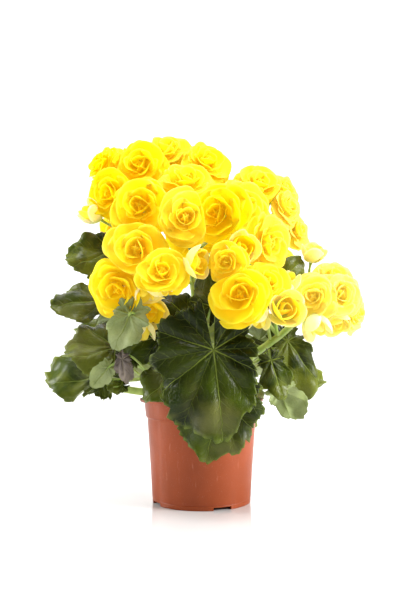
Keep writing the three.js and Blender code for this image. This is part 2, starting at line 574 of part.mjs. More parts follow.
// The whorls of a head stand one above the other, joined by a neck between their rings
function headMesh(form, breadth, place) {
  const corners = [];
  const triangles = [];
  let below = null;
  form.whorls.forEach((whorl, tier) => {
    const whorlSkin = whorlSkins(whorl, breadth, place);
    const shifted = (list) => list.map((face) => face.map((i) => i + corners.length));
    const ringFaces = whorl.petals - 2;
    const half = whorlSkin.corners.length / 2;
    const ring = { count: whorl.petals, firstTurn: whorl.firstTurn };
    const openAbove = tier < form.whorls.length - 1;
    triangles.push(...shifted(whorlSkin.upper.slice(openAbove ? ringFaces : 0)));
    triangles.push(...shifted(whorlSkin.lower.slice(below ? ringFaces : 0)));
    triangles.push(...shifted(whorlSkin.rim));
    if (below) triangles.push(...neck(below, { ...ring, first: corners.length + half }));
    below = { ...ring, first: corners.length };
    corners.push(...whorlSkin.corners);
  });
  return meshOf(corners, triangles);
}

function headSolid(head, order) {
  const { right, up, out } = headFrame(head, order);
  const base = headBase(head);
  const centre = seen(head.at);
  const walls = cellWalls(head);
  const place = (local) => {
    const point = base.clone().addScaledVector(right, local.x).addScaledVector(up, local.y);
    return pressed(point.addScaledVector(out, local.z), centre, walls);
  };
  return solidOf(headMesh(FORMS[head.form], head.breadth, place));
}

// Distance from hub to margin at an angle from the tip, as a share of the blade's length
function marginReach(leaf, angle) {
  const body = leaf.wide * (MARGIN.body + MARGIN.bodyTowardsTip * Math.cos(angle));
  const tip = (MARGIN.tip - MARGIN.tipPerWidth * leaf.wide) * Math.max(Math.cos(angle), 0) ** MARGIN.tipPower;
  const lobes = MARGIN.lobe * Math.cos((angle * 180) / MARGIN.lobePitch);
  return (body + tip + lobes) * (1 + leaf.lean * Math.sin(angle));
}

function leafFrame(leaf) {
  const hub = seen(leaf.hub);
  const along = seen(leaf.tip).sub(hub);
  const length = along.length();
  along.normalize();
  const normal = facing(leaf.yaw, leaf.pitch);
  normal.addScaledVector(along, -normal.dot(along)).normalize();
  return { hub, along, normal, side: along.clone().cross(normal), length };
}

// Middle surface of a blade: angle from the tip and share of the way to the margin
function bladePoint(leaf, frame, angle, share) {
  const reach = share * frame.length;
  const x = reach * Math.sin(angle);
  const y = reach * Math.cos(angle);
  const phase = LEAF_WAVES.count * angle + LEAF_WAVES.phasePerWidth * leaf.wide;
  const ripple = leaf.wave * Math.sin(phase) * share ** 2;
  const bend = -leaf.bend * ((x * x + y * y) / frame.length ** 2);
  return frame.hub.clone()
    .addScaledVector(frame.side, x)
    .addScaledVector(frame.along, y)
    .addScaledVector(frame.normal, (ripple + bend) * frame.length);
}

// The blade of a large leaf has a ring of points between hub and margin, that of a small one has none
function bladeSheet(leaf, frame) {
  const steps = 2 * leaf.teeth;
  const sweep = 2 * (Math.PI - radians(MARGIN.sinus));
  const angleAt = (i) => -sweep / 2 + (sweep * i) / steps;
  const points = [frame.hub.clone()];
  for (let i = 0; i <= steps; i += 1) {
    const notch = i % 2 === 1 ? MARGIN.tooth : 0;
    points.push(bladePoint(leaf, frame, angleAt(i), marginReach(leaf, angleAt(i)) - notch));
  }
  const margin = (i) => 1 + i;
  const faces = [];
  if (leaf.teeth < LEAF_RING.fewestTeeth) {
    for (let i = 0; i < steps; i += 1) faces.push([0, margin(i + 1), margin(i)]);
    return sheet(points, faces, LEAF_THICKNESS);
  }
  const ring = (j) => 2 + steps + j;
  for (let i = 0; i <= steps; i += 2) {
    points.push(bladePoint(leaf, frame, angleAt(i), LEAF_RING.share * marginReach(leaf, angleAt(i))));
  }
  for (let j = 0; j < leaf.teeth; j += 1) {
    faces.push([0, ring(j + 1), ring(j)]);
    faces.push([ring(j), margin(2 * j + 1), margin(2 * j)]);
    faces.push([ring(j), ring(j + 1), margin(2 * j + 1)]);
    faces.push([ring(j + 1), margin(2 * j + 2), margin(2 * j + 1)]);
  }
  return sheet(points, faces, LEAF_THICKNESS);
}

// The leaf stalk leaves its stem square to it and comes to the blade from behind
function leafStalk(leaf, frame) {
  const { point, axis, radius } = stemPlace(STEMS[leaf.stem], leaf.on);
  const away = frame.hub.clone().sub(point);
  const leave = away.clone().addScaledVector(axis, -away.dot(axis)).normalize();
  const start = leaf.grown ? point : point.addScaledVector(leave, radius + SEAT_GAP);
  const end = frame.hub.clone().addScaledVector(frame.along, 2 * leaf.stalk);
  const arrive = frame.normal.clone().multiplyScalar(LEAF_STALK.rise).add(frame.along).normalize();
  const span = end.distanceTo(start);
  const line = new THREE.CubicBezierCurve3(
    start,
    start.clone().addScaledVector(leave, span * LEAF_STALK.pull),
    end.clone().addScaledVector(arrive, -span * LEAF_STALK.pull),
    end,
  );
  const steps = span > LEAF_STALK.longSpan ? LEAF_STALK.longSteps : LEAF_STALK.steps;
  return bar(line, leaf.stalk, leaf.stalk * LEAF_STALK.narrowing, LEAF_STALK.sides, steps);
}

function leafSolid(leaf) {
  const frame = leafFrame(leaf);
  return fused([solidOf(bladeSheet(leaf, frame)), solidOf(leafStalk(leaf, frame))]);
}

// The place where a head's stalk leaves its stem: the nearest one to a point below the head
function stalkRoot(stem, end) {
  const places = Array.from({ length: STALK_ROOT.places }, (_, i) => {
    const share = STALK_ROOT.lowest + ((1 - STALK_ROOT.lowest) * i) / (STALK_ROOT.places - 1);
    return stemPlace(stem, share).point;
  });
  const cost = (place) => {
    const level = Math.hypot(place.x - end.x, place.y - end.y);
    return Math.hypot(level, place.z + STALK_ROOT.drop * level - end.z);
  };
  return places.reduce((best, place) => (cost(place) < cost(best) ? place : best));
}

// A stem with the stalks of all its heads, and the leaf that has grown together with it
function stemSolid(name) {
  const stem = STEMS[name];
  const pieces = [solidOf(bar(stemCurve(stem), stem.radius[0], stem.radius[1], STEM_SIDES, STEM_STEPS))];
  for (const head of HEADS.filter((each) => each.stem === name)) {
    const out = facing(head.yaw, head.pitch);
    const end = headBase(head).addScaledVector(out, -SEAT_GAP);
    const root = stalkRoot(stem, end);
    const span = end.distanceTo(root);
    const pull = end.clone().addScaledVector(out, -span * STALK.pull);
    const curve = new THREE.QuadraticBezierCurve3(root, pull, end);
    const radius = Math.min(STALK.radius, head.breadth * STALK.radiusPerBreadth);
    pieces.push(solidOf(bar(curve, STALK.radius, radius, STALK.sides, Math.ceil(span / STALK.stepLength))));
  }
  const grown = LEAVES.filter((leaf) => leaf.grown && leaf.stem === name);
  return fused([...pieces, ...grown.map(leafSolid)]);
}

function piece(name, solid, finish) {
  const mesh = new THREE.Mesh(geometryOf(wholeBody(solid)), new THREE.MeshStandardMaterial(FINISHES[finish]));
  mesh.name = name;
  return mesh;
}

function leafFinish(leaf) {
  if (leaf.name.includes('dry')) return 'leafDry';
  return leaf.name.includes('pale') || leaf.name.includes('stalk') ? 'leafUnder' : 'leaf';
}

const begonia = new THREE.Group();
begonia.add(piece('pot', potSolid(), 'pot'));
begonia.add(piece('soil', soilSolid(), 'soil'));
for (const name of Object.keys(STEMS)) begonia.add(piece(name, stemSolid(name), 'stem'));
for (const leaf of LEAVES.filter((each) => !each.grown)) {
  begonia.add(piece(leaf.name, leafSolid(leaf), leafFinish(leaf)));
}
for (const node of new Set(HEADS.map((head) => head.node))) {
  const solids = HEADS.flatMap((head, order) => (head.node === node ? [headSolid(head, order)] : []));
  const opened = HEADS.some((head) => head.node === node && ['open', 'back'].includes(head.form));
  begonia.add(piece(node, fused(solids), opened ? 'bloom' : 'bud'));
}

export default begonia;
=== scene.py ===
"""Potted begonia with double yellow blooms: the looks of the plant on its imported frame.

Metres, +Z up, the front faces -Y. The tables of pot, stems, heads and leaves are in millimetres and degrees.
"""

import math
from collections import namedtuple
from types import SimpleNamespace as Values

import bpy
import numpy as np
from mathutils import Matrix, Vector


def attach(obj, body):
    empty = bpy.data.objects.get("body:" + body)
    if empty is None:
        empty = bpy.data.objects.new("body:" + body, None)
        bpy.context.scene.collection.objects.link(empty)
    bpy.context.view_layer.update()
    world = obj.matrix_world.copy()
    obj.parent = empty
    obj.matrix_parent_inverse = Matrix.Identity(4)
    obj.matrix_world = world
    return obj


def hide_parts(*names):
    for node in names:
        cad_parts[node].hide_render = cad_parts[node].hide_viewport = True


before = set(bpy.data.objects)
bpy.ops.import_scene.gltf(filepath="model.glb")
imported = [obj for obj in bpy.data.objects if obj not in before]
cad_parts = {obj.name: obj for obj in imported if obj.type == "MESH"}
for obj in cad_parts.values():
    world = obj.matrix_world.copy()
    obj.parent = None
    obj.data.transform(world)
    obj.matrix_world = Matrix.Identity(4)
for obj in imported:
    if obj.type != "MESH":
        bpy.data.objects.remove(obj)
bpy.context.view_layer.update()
scene = bpy.context.scene

MM = 0.001
GAP = 0.3

# Camera: distance from the pot's axis, height, focal length in pixels, the photo's size, axis and horizon
EYE_DISTANCE = 760
EYE_HEIGHT = 160
LENS_PIXELS = 779
PICTURE = (408, 612)
POT_AXIS_COLUMN = 201.5
HORIZON_ROW = 336.6
SENSOR = 36.0

POT = Values(
    height=100, lip_radius=60, lip_thickness=2.6, band_top=55.6, band_foot=54.2, band_height=83,
    wall_top=52.7, wall_step=1.2, foot_radius=47.5, foot_ring=3, wall=1.6, floor=3.2, floor_thickness=1.6,
    corner=0.7)
NOTCH = Values(count=4, width=18, height=3, first=-65.5)
DRAIN = Values(count=4, radius=4, ring=26, first=-20, sides=32)
POT_SEGMENTS, POT_SHARP = 128, 40
SOIL = Values(top=88, crown=5, hole_depth=24, rings=26, segments=96, crumbs_within=49, crown_power=0.6)
SOIL_WAVES = Values(seed=5, count=7, slowest=150, fastest=900, height=0.00035, sunk=0.0006)
CRUMBS = {"Density": 140000.0, "Smallest": 0.0006, "Largest": 0.0026, "Seed": 3}
CRUMB_LENGTH, CRUMB_HEIGHT = (0.8, 1.7), (0.5, 0.9)

# Stems: foot on the soil, radius at both ends, forks that they pass
Stem = namedtuple("Stem", "foot radius forks")
STEMS = {
    "left": Stem((-13, 5), (4.4, 2.4), ((-24, 6, 165), (-48, 6, 240), (-58, 8, 285))),
    "centre": Stem((1, -9), (4.4, 2.4), ((-3, -14, 165), (-8, -26, 225), (2, -18, 285))),
    "front": Stem((-11, -16), (4.2, 2.4), ((-30, -32, 150), (-46, -46, 195), (-42, -52, 226))),
    "right": Stem((13, 6), (4.4, 2.4), ((30, 2, 165), (48, -6, 225), (54, 4, 270))),
    "far_right": Stem((17, -10), (4.4, 2.6), ((44, -30, 138), (78, -34, 165), (104, -12, 192))),
    "back": Stem((2, 19), (4.4, 2.4), ((2, 40, 165), (4, 52, 225), (-6, 44, 268))),
}
# Steps of a stem in the frame, its upright foot, the swellings on it, and its rounded end
STEM_STEPS = 7
STEM_STRAIGHT = 8
STEM_JOINTS = Values(count=7, swelling=0.12, spread=0.004)
STEM_END = Values(start=0.985, over=0.015, thinning=0.6)
# Where a head's stalk may leave its stem: lowest share of the way up, places tried, drop per length outwards
STALK_ROOT = Values(lowest=0.45, places=12, drop=0.45)
STALK = Values(radius=1.6, radius_per_breadth=0.05, pull=0.45, sunk=0.015, flare=0.55, flare_start=0.86,
               flare_over=0.14, foot_share=0.5)
LEAF_STALK = Values(narrowing=0.8, pull=0.35, rise=0.6, thinning=0.75, thin_start=0.9, thin_over=0.1,
                    foot_share=0.35)
STEM_SKIN = {"Sides": 16, "Waver": 0.0002, "Waver Scale": 200.0}
LEAF_STALK_SKIN = {"Sides": 12, "Waver": 0.0001, "Waver Scale": 300.0}
STEM_POINTS, STALK_POINTS, LEAF_STALK_POINTS, CURVE_STEPS = 90, 30, 40, 40

# Heads: node, place as the camera sees it (across, up, depth), breadth, yaw and pitch of the face, form, stem
Head = namedtuple("Head", "node place breadth yaw pitch form stem")
HEADS = [Head("bloom_" + node, *row) for node, *row in (
    ("left_rear", (-99, 329, -10), 36, -60, 25, "open", "left"),
    ("left_rear", (-87, 331, 13), 42, -35, 50, "open", "left"),
    ("upper_left", (-60, 328, -27), 45, -10, 16, "open", "left"),
    ("top", (-34, 342, 6), 47, 0, 42, "open", "left"),
    ("top_right", (6, 331, -8), 46, 28, 34, "open", "centre"),
    ("left_high", (-89, 299, -35), 48, -34, -4, "open", "left"),
    ("left_high", (-108, 281, -22), 22, -60, 30, "bud", "left"),
    ("mid_left", (-59, 287, -71), 50, -8, 6, "open", "left"),
    ("centre", (-16, 276, -93), 46, 4, 4, "open", "centre"),
    ("upper_centre", (-14, 313, -50), 46, 12, 44, "open", "centre"),
    ("centre_right", (16, 281, -84), 46, -30, 4, "open", "centre"),
    ("front_left", (-63, 245, -88), 52, -10, 2, "open", "front"),
    ("left_low", (-82, 206, -74), 50, -16, -22, "open", "front"),
    ("left_low", (-53, 203, -80), 19, 10, -70, "bud", "front"),
    ("front_cup", (-38, 224, -108), 42, 4, 22, "open", "front"),
    ("front_cup", (-38, 208, -103), 13, 20, -60, "bud", "front"),
    ("front_cup", (-5, 232, -102), 27, 58, -8, "half", "centre"),
    ("right_top", (57, 309, -10), 46, 16, 34, "open", "right"),
    ("right_top", (81, 305, 10), 34, 45, 30, "open", "right"),
    ("right_outer", (84, 286, -8), 38, 46, 14, "open", "right"),
    ("right_outer", (95, 263, 4), 32, 50, 10, "open", "right"),
    ("right_high", (42, 286, -43), 50, 24, 8, "open", "right"),
    ("right_mid", (66, 250, -66), 50, 44, -8, "open", "right"),
    ("centre_low", (38, 245, -92), 30, 20, 10, "half", "centre"),
    ("centre_low", (24, 233, -104), 34, -14, -4, "open", "centre"),
    ("front_right", (38, 201, -110), 50, -10, 4, "open", "centre"),
    ("right_low", (64, 213, -82), 44, 22, 22, "open", "far_right"),
    ("right_low", (85, 214, -64), 17, 10, 40, "bud", "far_right"),
    ("right_bud", (82, 187, -92), 32, 14, 10, "half", "far_right"),
    ("right_bud", (56, 178, -90), 22, 0, -70, "bud", "far_right"),
    ("right_tall", (109, 242, -15), 25, 20, 62, "half", "far_right"),
    ("far_right", (136, 201, -25), 44, 14, 8, "open", "far_right"),
    ("far_right", (132, 174, -16), 26, 20, -50, "half", "far_right"),
    ("far_right", (151, 183, -6), 34, 56, 0, "open", "far_right"),
    ("far_right", (129, 219, -8), 38, 10, 38, "open", "far_right"),
    ("right_inner", (109, 199, -46), 40, -18, 8, "open", "far_right"),
    ("right_inner", (112, 170, -45), 24, 30, -62, "bud", "far_right"),
    ("left_under", (-58, 165, -66), 21, 10, -80, "bud", "front"),
    ("left_under", (-48, 185, -64), 30, 10, -40, "half", "front"),
    ("back_left_top", (-70, 292, 62), 46, -145, 22, "back", "left"),
    ("back_left_top", (-86, 266, 44), 44, -105, 4, "back", "left"),
    ("back_crown", (-30, 306, 60), 46, -170, 42, "back", "back"),
    ("back_crown", (9, 298, 64), 46, 165, 38, "back", "back"),
    ("back_crown", (43, 284, 60), 46, 140, 26, "back", "right"),
    ("back_left", (-62, 248, 84), 46, -150, 6, "back", "back"),
    ("back_left", (-40, 216, 92), 42, -165, -12, "back", "back"),
    ("back_right", (-14, 260, 98), 46, -175, 14, "back", "back"),
    ("back_right", (23, 250, 95), 46, 165, 8, "back", "back"),
    ("back_right", (10, 216, 100), 42, 175, -12, "back", "back"),
    ("back_side", (66, 244, 66), 44, 130, 8, "back", "right"),
    ("back_side", (85, 224, 54), 40, 110, 2, "back", "far_right"),
)]
# How far a head's base is behind its place, in shares of its breadth
SET_BACK = {"open": 0.2, "back": 0.2, "half": 0.4, "bud": 0.55}
# Each head keeps to a cell: the gap between cells, the share of the way out that is left as it was, how sharp
# the cell's corners are, and how much farther heads of one node may reach into each other
CELL = Values(clearance=0.2, free=0.8, sharpness=8, same_node=1.4)
ROLL_STEP = 137.5
GREENNESS = {"bud": 1.0, "half": 0.6}
# Paleness of a head: painted light that grows to the right, plus a little at random and more for buds
PALENESS = Values(start=50, over=90, right=0.7, chance=0.14, chance_step=0.618, bud=0.25)

# Leaves: node, hub where the stalk meets the blade, tip, yaw and pitch of the upper side, breadth, lean to
# one side, main veins, droop, waves, then the stem, the share of the way up it, and the stalk's radius
Leaf = namedtuple("Leaf", "name hub tip yaw pitch wide lean teeth bend wave stem on stalk")
LEAVES = [Leaf("leaf_" + name, *row) for name, *row in (
    ("front_large", (12, 147, -94), (22, 60, -96), -4, 14, 0.92, 0.2, 12, -0.06, 0.05, "centre", 0.33, 2.3),
    ("front_low", (19, 101, -68), (4, 38, -66), 4, 8, 0.98, -0.04, 12, 0, 0.05, "far_right", 0.3, 2),
    ("rim_left", (-26, 124, -72), (-56, 98, -74), -20, 20, 1, 0.1, 8, 0.04, 0.05, "front", 0.24, 1.7),
    ("left_large", (-84, 149, -44), (-135, 146, -54), -14, 34, 1.02, 0.1, 11, 0.08, 0.06, "front", 0.36, 2),
    ("left_low", (-98, 121, -12), (-152, 128, 19), -24, 30, 0.64, 0.1, 11, 0.05, 0.06, "left", 0.27, 2),
    ("left_small_pale", (-91, 130, -70), (-107, 111, -76), 165, 20, 0.62, 0, 6, 0.05, 0.03, "front", 0.24, 1.2),
    ("left_upper", (-94, 195, -30), (-146, 191, -38), -8, 30, 0.68, 0.1, 10, 0.06, 0.06, "left", 0.42, 1.8),
    ("left_top", (-88, 243, -20), (-135, 238, -26), -10, 22, 0.8, 0, 9, 0.06, 0.06, "left", 0.62, 1.6),
    ("left_pale", (-70, 182, -78), (-85, 148, -82), 158, 20, 0.8, 0.1, 8, 0.04, 0.03, "front", 0.56, 1.4),
    ("left_inner", (-38, 162, -54), (-80, 148, -52), -6, 6, 0.8, 0, 10, 0.04, 0.05, "front", 0.36, 1.6),
    ("left_dry", (-77, 138, -78), (-74, 112, -80), -20, 6, 0.6, 0, 6, 0.06, 0.08, "front", 0.26, 1.1),
    ("left_stalk", (-78, 112, -50), (-92, 109, -54), -10, 30, 0.9, 0, 6, 0.04, 0.04, "front", 0.29, 4),
    ("right_hanging", (68, 137, -60), (79, 99, -62), 10, 4, 0.5, 0, 8, 0.05, 0.04, "far_right", 0.42, 1.6),
    ("right_pale", (77, 107, -44), (101, 82, -48), 168, -12, 0.7, 0, 7, 0.1, 0.03, "far_right", 0.34, 1.4),
    ("right_dark", (84, 156, -22), (104, 98, -28), 16, 12, 0.5, 0.1, 9, 0.05, 0.07, "far_right", 0.48, 1.7),
    ("right_upper", (70, 203, -30), (98, 236, -22), 10, 14, 0.8, 0, 8, 0.04, 0.05, "right", 0.55, 1.4),
    ("centre_upper", (9, 190, -74), (17, 228, -68), 0, 6, 0.8, 0, 8, 0.04, 0.04, "centre", 0.5, 1.4),
    ("centre_left", (-12, 178, -56), (-38, 200, -48), -4, 26, 0.8, 0, 8, 0.04, 0.04, "centre", 0.36, 1.4),
    ("back_left", (-62, 150, 56), (-112, 122, 84), -150, 40, 1, 0.1, 11, 0.1, 0.06, "left", 0.3, 2),
    ("back_centre", (-8, 160, 91), (-20, 104, 122), 178, 34, 1.1, 0.1, 12, 0.04, 0.05, "back", 0.4, 2.2),
    ("back_right", (56, 156, 58), (98, 124, 88), 150, 40, 1.04, -0.1, 11, 0.1, 0.06, "right", 0.22, 2),
    ("back_low", (14, 106, 72), (20, 52, 76), 176, 8, 1.16, 0.1, 11, 0, 0.05, "back", 0.3, 2),
    ("side_left", (-76, 184, 26), (-122, 166, 48), -110, 44, 0.96, 0, 9, 0.1, 0.06, "left", 0.5, 1.8),
    ("side_right", (76, 144, 16), (124, 120, 30), 80, 44, 0.96, 0, 9, 0.1, 0.06, "right", 0.4, 1.8),
)]
GROWN_LEAF = "leaf_left_stalk"  # this one is in one solid with its stem

# Margin of a leaf, in shares of its length from hub to tip: lobe_pitch and sinus are degrees
MARGIN = Values(body=0.64, towards_tip=0.05, tip=1.0, tip_per_width=0.69, tip_power=3, lobe=0.035,
                lobe_pitch=21, tooth=0.055, tooth_mean=0.9, tooth_vary=0.7, sinus=7)
SERRATION = Values(per_tooth=4, depth=0.036, mean=0.45, vary=0.75, long_side=0.75, short_side=0.25,
                   outwards=0.012)
# What a withered leaf has more of: deeper teeth, a shrunk margin, a crumpled blade
WITHERED = Values(deeper=2.2, shrunk=0.22, crumple=0.06)
LEAF_COLUMNS, LEAF_RINGS, RING_CROWDING = 16, 14, 0.85
LEAF_BLADE = Values(thickness=0.55, rib=1.2, rib_width=0.012, rim_thinning=0.4)
QUILT, QUILT_WIDTH, SWELL = 0.035, 0.05, 0.09
# Leaves this far from the pot's axis, to either side, get the full painted light
LIT_FROM_AXIS = 90

# Whorls of petals from the outside in: shares of the head's breadth, degrees from the head's plane
Whorl = namedtuple("Whorl", "petals ring height length width root tip curl twist turn ruffle roll tone cells",
                   defaults=[10])
WHORLS = {form: [Whorl(*row) for row in rows] for form, rows in {
    "open": (
        (5, 0.05, -0.02, 0.57, 0.86, 20, -4, 0.8, 7, 0, 0.026, 0.030, 0.0, 12),
        (4, 0.05, 0.01, 0.50, 0.76, 32, 22, 1.5, 9, 36, 0.022, 0.016, 0.15, 12),
        (4, 0.05, 0.04, 0.40, 0.56, 46, 58, 2.8, 11, 12, 0.014, 0.012, 0.25),
        (3, 0.05, 0.06, 0.34, 0.48, 62, 88, 4.6, 12, 50, 0.008, 0.010, 0.4),
        (4, 0.03, 0.08, 0.25, 0.28, 78, 122, 7.0, 12, 0, 0.003, 0.0, 0.6),
        (5, 0.012, 0.06, 0.15, 0.13, 80, 150, 9.0, 10, 20, 0.002, 0.0, 0.75, 6),
    ),
    "half": (
        (4, 0.10, 0.03, 0.84, 0.94, 16, 100, 2.0, 8, 0, 0.012, 0.020, 0.0),
        (4, 0.08, 0.06, 0.70, 0.74, 36, 104, 2.8, 9, 40, 0.008, 0.010, 0.3),
        (3, 0.05, 0.10, 0.56, 0.56, 56, 112, 5.4, 10, 10, 0.006, 0.0, 0.7),
    ),
    "bud": (
        (3, 0.14, 0.02, 1.16, 0.98, 26, 112, 2.3, 4, 0, 0.004, 0.0, 0.0),
        (3, 0.08, 0.06, 0.98, 0.76, 44, 112, 3.4, 6, 60, 0.004, 0.0, 0.3),
    )}.items()}
WHORLS["back"] = WHORLS["open"]
PETAL = Values(thickness=0.36, rim_thinning=0.6, ruffles=5.0, vary=1.5, broad=1.12, narrowing=0.2)
# How far the petals of a whorl differ. A name's place in this list also sets its random seed.
PETAL_SPREAD = dict(length=0.07, width=0.08, root=0.07, tip=0.16, curl=0.25, wave=3.1, slow_wave=3.1,
                    twist=0.06, turn=0.07)
LEAST_SWEEP = 0.002
SEEDS_PER_HEAD, SEEDS_PER_WHORL, TINT_SEED = 101, 13, 20

# Colours: shares of red, green and blue
PETAL_COLORS = Values(
    lemon=(1.0, 0.70, 0.0), deeper=(1.0, 0.65, 0.0), golden=(1.0, 0.655, 0.0), streak=(1.0, 0.67, 0.0),
    rim=(1.0, 0.79, 0.02), washed=(1.0, 0.87, 0.22), cream=(0.95, 0.90, 0.46), green=(0.46, 0.58, 0.12))
# Each leaf table holds, besides the leaf's own colours, a painted shade, a painted light and a greyer painted
# sheen
GREEN_LEAF = Values(
    upper=(0.009, 0.017, 0.001), other=(0.048, 0.074, 0.003), worn=(0.15, 0.15, 0.040),
    deep=(0.005, 0.009, 0.001), light=(0.150, 0.175, 0.018), under=(0.29, 0.35, 0.13),
    under_other=(0.36, 0.42, 0.19), vein=(0.21, 0.27, 0.04), roughness=0.22)
DRY_LEAF = Values(
    upper=(0.125, 0.102, 0.086), other=(0.20, 0.165, 0.140), worn=(0.27, 0.225, 0.18),
    deep=(0.075, 0.058, 0.046), light=(0.29, 0.24, 0.19), under=(0.24, 0.20, 0.17),
    under_other=(0.18, 0.145, 0.12), vein=(0.29, 0.24, 0.17), roughness=0.6)
# Veins: sway of the main ones, how much weaker every second one is, slant and bend of the side ones, fine net
VEIN = Values(sway_scale=60.0, sway=0.2, weaker=0.62, thinning=0.78, side_shift=0.37, side_step=0.25,
              bend_scale=140.0, bend=0.7, slant=1.15, net_scale=420.0)
STEM_COLORS = Values(green=(0.30, 0.44, 0.075), pale=(0.44, 0.54, 0.14), rosy=(0.33, 0.20, 0.06))
POT_COLORS = Values(clay=(0.35, 0.067, 0.0175), other=(0.305, 0.059, 0.015), scuff=(0.56, 0.22, 0.13),
                    dust=(0.62, 0.36, 0.26), lip_top=(0.055, 0.038, 0.030))
LIP_TOP = Values(inner=0.0594, outer=0.0603, low=0.0990, high=0.0997, waver=0.0010, share=0.85)
SOIL_COLORS = Values(dark=(0.030, 0.016, 0.009), brown=(0.075, 0.042, 0.024))
FLOOR_COLORS = Values(white=(0.73, 0.73, 0.73), other=(0.72, 0.72, 0.72))

# Room, in metres: half its breadth, front edge, where the floor starts to rise, radius of the sweep, height
ROOM = Values(half=4.0, front=-0.42, sweep_foot=1.6, sweep_radius=0.8, height=4.0)
# Strength of the white sky where the camera sees it, and as a light
SEEN_SKY = 1.0
LIGHTING_SKY = 0.2
# Lights: name, place, target, size, power
LIGHTS = [
    ("right", (1.45, -0.39, 0.7), (0.0, 0.0, 0.18), 0.8, 42),
    ("left", (-1.5, 0.13, 0.6), (0.0, 0.0, 0.18), 0.8, 25),
    ("top", (0.0, -0.45, 1.7), (0.0, 0.0, 0.25), 0.9, 24),
    ("backdrop", (0.0, 1.0, 2.7), (0.0, 2.2, 0.3), 2.4, 110),
]

INT, FLOAT, VECTOR, COLOR, GEOMETRY, MATERIAL = (
    "NodeSocket" + kind for kind in ("Int", "Float", "Vector", "Color", "Geometry", "Material"))


class Term:
    """A number in a node tree: plain arithmetic on it adds Math nodes"""

    def __init__(self, web, socket):
        self.web, self.socket = web, socket


for sign, operation in (("add", "ADD"), ("sub", "SUBTRACT"), ("mul", "MULTIPLY"), ("truediv", "DIVIDE"),
                        ("pow", "POWER")):
    setattr(Term, f"__{sign}__", lambda one, other, operation=operation: one.web.math(operation, one, other))
    setattr(Term, f"__r{sign}__", lambda one, other, operation=operation: one.web.math(operation, other, one))


class Web:
    """Builds one node tree"""

    def __init__(self, tree):
        self.tree = tree

    def feed(self, socket, value):
        """Links a term, a socket or a node's first output, or sets a constant"""
        if isinstance(value, Term):
            value = value.socket
        if isinstance(value, bpy.types.Node):
            value = value.outputs[0]
        if isinstance(value, bpy.types.NodeSocket):
            self.tree.links.new(value, socket)
        else:
            socket.default_value = (*value, 1) if socket.type == "RGBA" else value

    def node(self, kind, inputs=None, **settings):
        made = self.tree.nodes.new(kind)
        for key, value in settings.items():
            setattr(made, key, value)
        for key, value in (inputs or {}).items():
            self.feed(made.inputs[key], value)
        return made

    def term(self, kind, inputs, **settings):
        return Term(self, self.node(kind, inputs, **settings).outputs[0])

    def math(self, operation, *values):
        return self.term("ShaderNodeMath", dict(enumerate(values)), operation=operation)

    def sin(self, value):
        return self.math("SINE", value)

    def cos(self, value):
        return self.math("COSINE", value)

    def ramp(self, value, low, high, start=0.0, end=1.0):
        """Start below low, end above high, with a smooth step between them"""
        limits = {"Value": value, "From Min": low, "From Max": high, "To Min": start, "To Max": end}
        return self.term("ShaderNodeMapRange", limits, interpolation_type="SMOOTHSTEP")

    def blend(self, share, one, other):
        return self.node("ShaderNodeMix", {0: share, 6: one, 7: other}, data_type="RGBA").outputs[2]

    def coated(self, color, *coats):
        """A colour under others, each laid on by its share"""
        for share, coat in coats:
            color = self.blend(share, color, coat)
        return color

    def split(self, vector):
        made = self.node("ShaderNodeSeparateXYZ", {0: vector})
        return [Term(self, socket) for socket in made.outputs]

    def joined(self, x, y, z):
        return self.node("ShaderNodeCombineXYZ", {0: x, 1: y, 2: z}).outputs[0]

    def place(self):
        return self.node("ShaderNodeTexCoord").outputs["Object"]

    def noise(self, vector, scale, detail=3.0, roughness=0.55):
        return self.term("ShaderNodeTexNoise", {"Vector": vector, "Scale": scale, "Detail": detail,
                                                "Roughness": roughness})

    def chance(self, low, high, key, seed):
        """A random number for each key"""
        made = self.node("FunctionNodeRandomValue", data_type="FLOAT")
        for name, value in (("Min_001", low), ("Max_001", high), ("ID", key), ("Seed", seed)):
            self.feed(next(each for each in made.inputs if each.identifier == name), value)
        return Term(self, next(each for each in made.outputs if each.type == "VALUE" and each.enabled))

    def named(self, name, kind="FLOAT"):
        """A named attribute in a geometry tree"""
        made = self.node("GeometryNodeInputNamedAttribute", {"Name": name}, data_type=kind)
        return Term(self, next(each for each in made.outputs if each.enabled and each.name == "Attribute"))

    def stored(self, geometry, name, value, kind="FLOAT", domain="POINT"):
        inputs = {"Geometry": geometry, "Name": name, "Value": value}
        return self.node("GeometryNodeStoreNamedAttribute", inputs, data_type=kind, domain=domain)


def group(name, kind, inputs, outputs):
    """A node group: its web, inputs by name and output node. An input is a default or a kind of socket."""
    tree = bpy.data.node_groups.new(name, kind)
    for label, value in inputs.items():
        socket = value if isinstance(value, str) else {int: INT, float: FLOAT, tuple: COLOR}[type(value)]
        made = tree.interface.new_socket(name=label, in_out="INPUT", socket_type=socket)
        if not isinstance(value, str):
            made.default_value = (*value, 1) if socket == COLOR else value
    for label, socket in outputs.items():
        tree.interface.new_socket(name=label, in_out="OUTPUT", socket_type=socket)
    web = Web(tree)
    entry = tree.nodes.new("NodeGroupInput")
    given = {label: Term(web, entry.outputs[label]) for label in inputs}
    return web, given, tree.nodes.new("NodeGroupOutput")


def finished(web, leave, geometry, material):
    """Ends a geometry tree: everything made real, with its material"""
    real = web.node("GeometryNodeRealizeInstances", {"Geometry": geometry})
    web.feed(leave.inputs[0], web.node("GeometryNodeSetMaterial", {"Geometry": real, "Material": material}))
    return web.tree


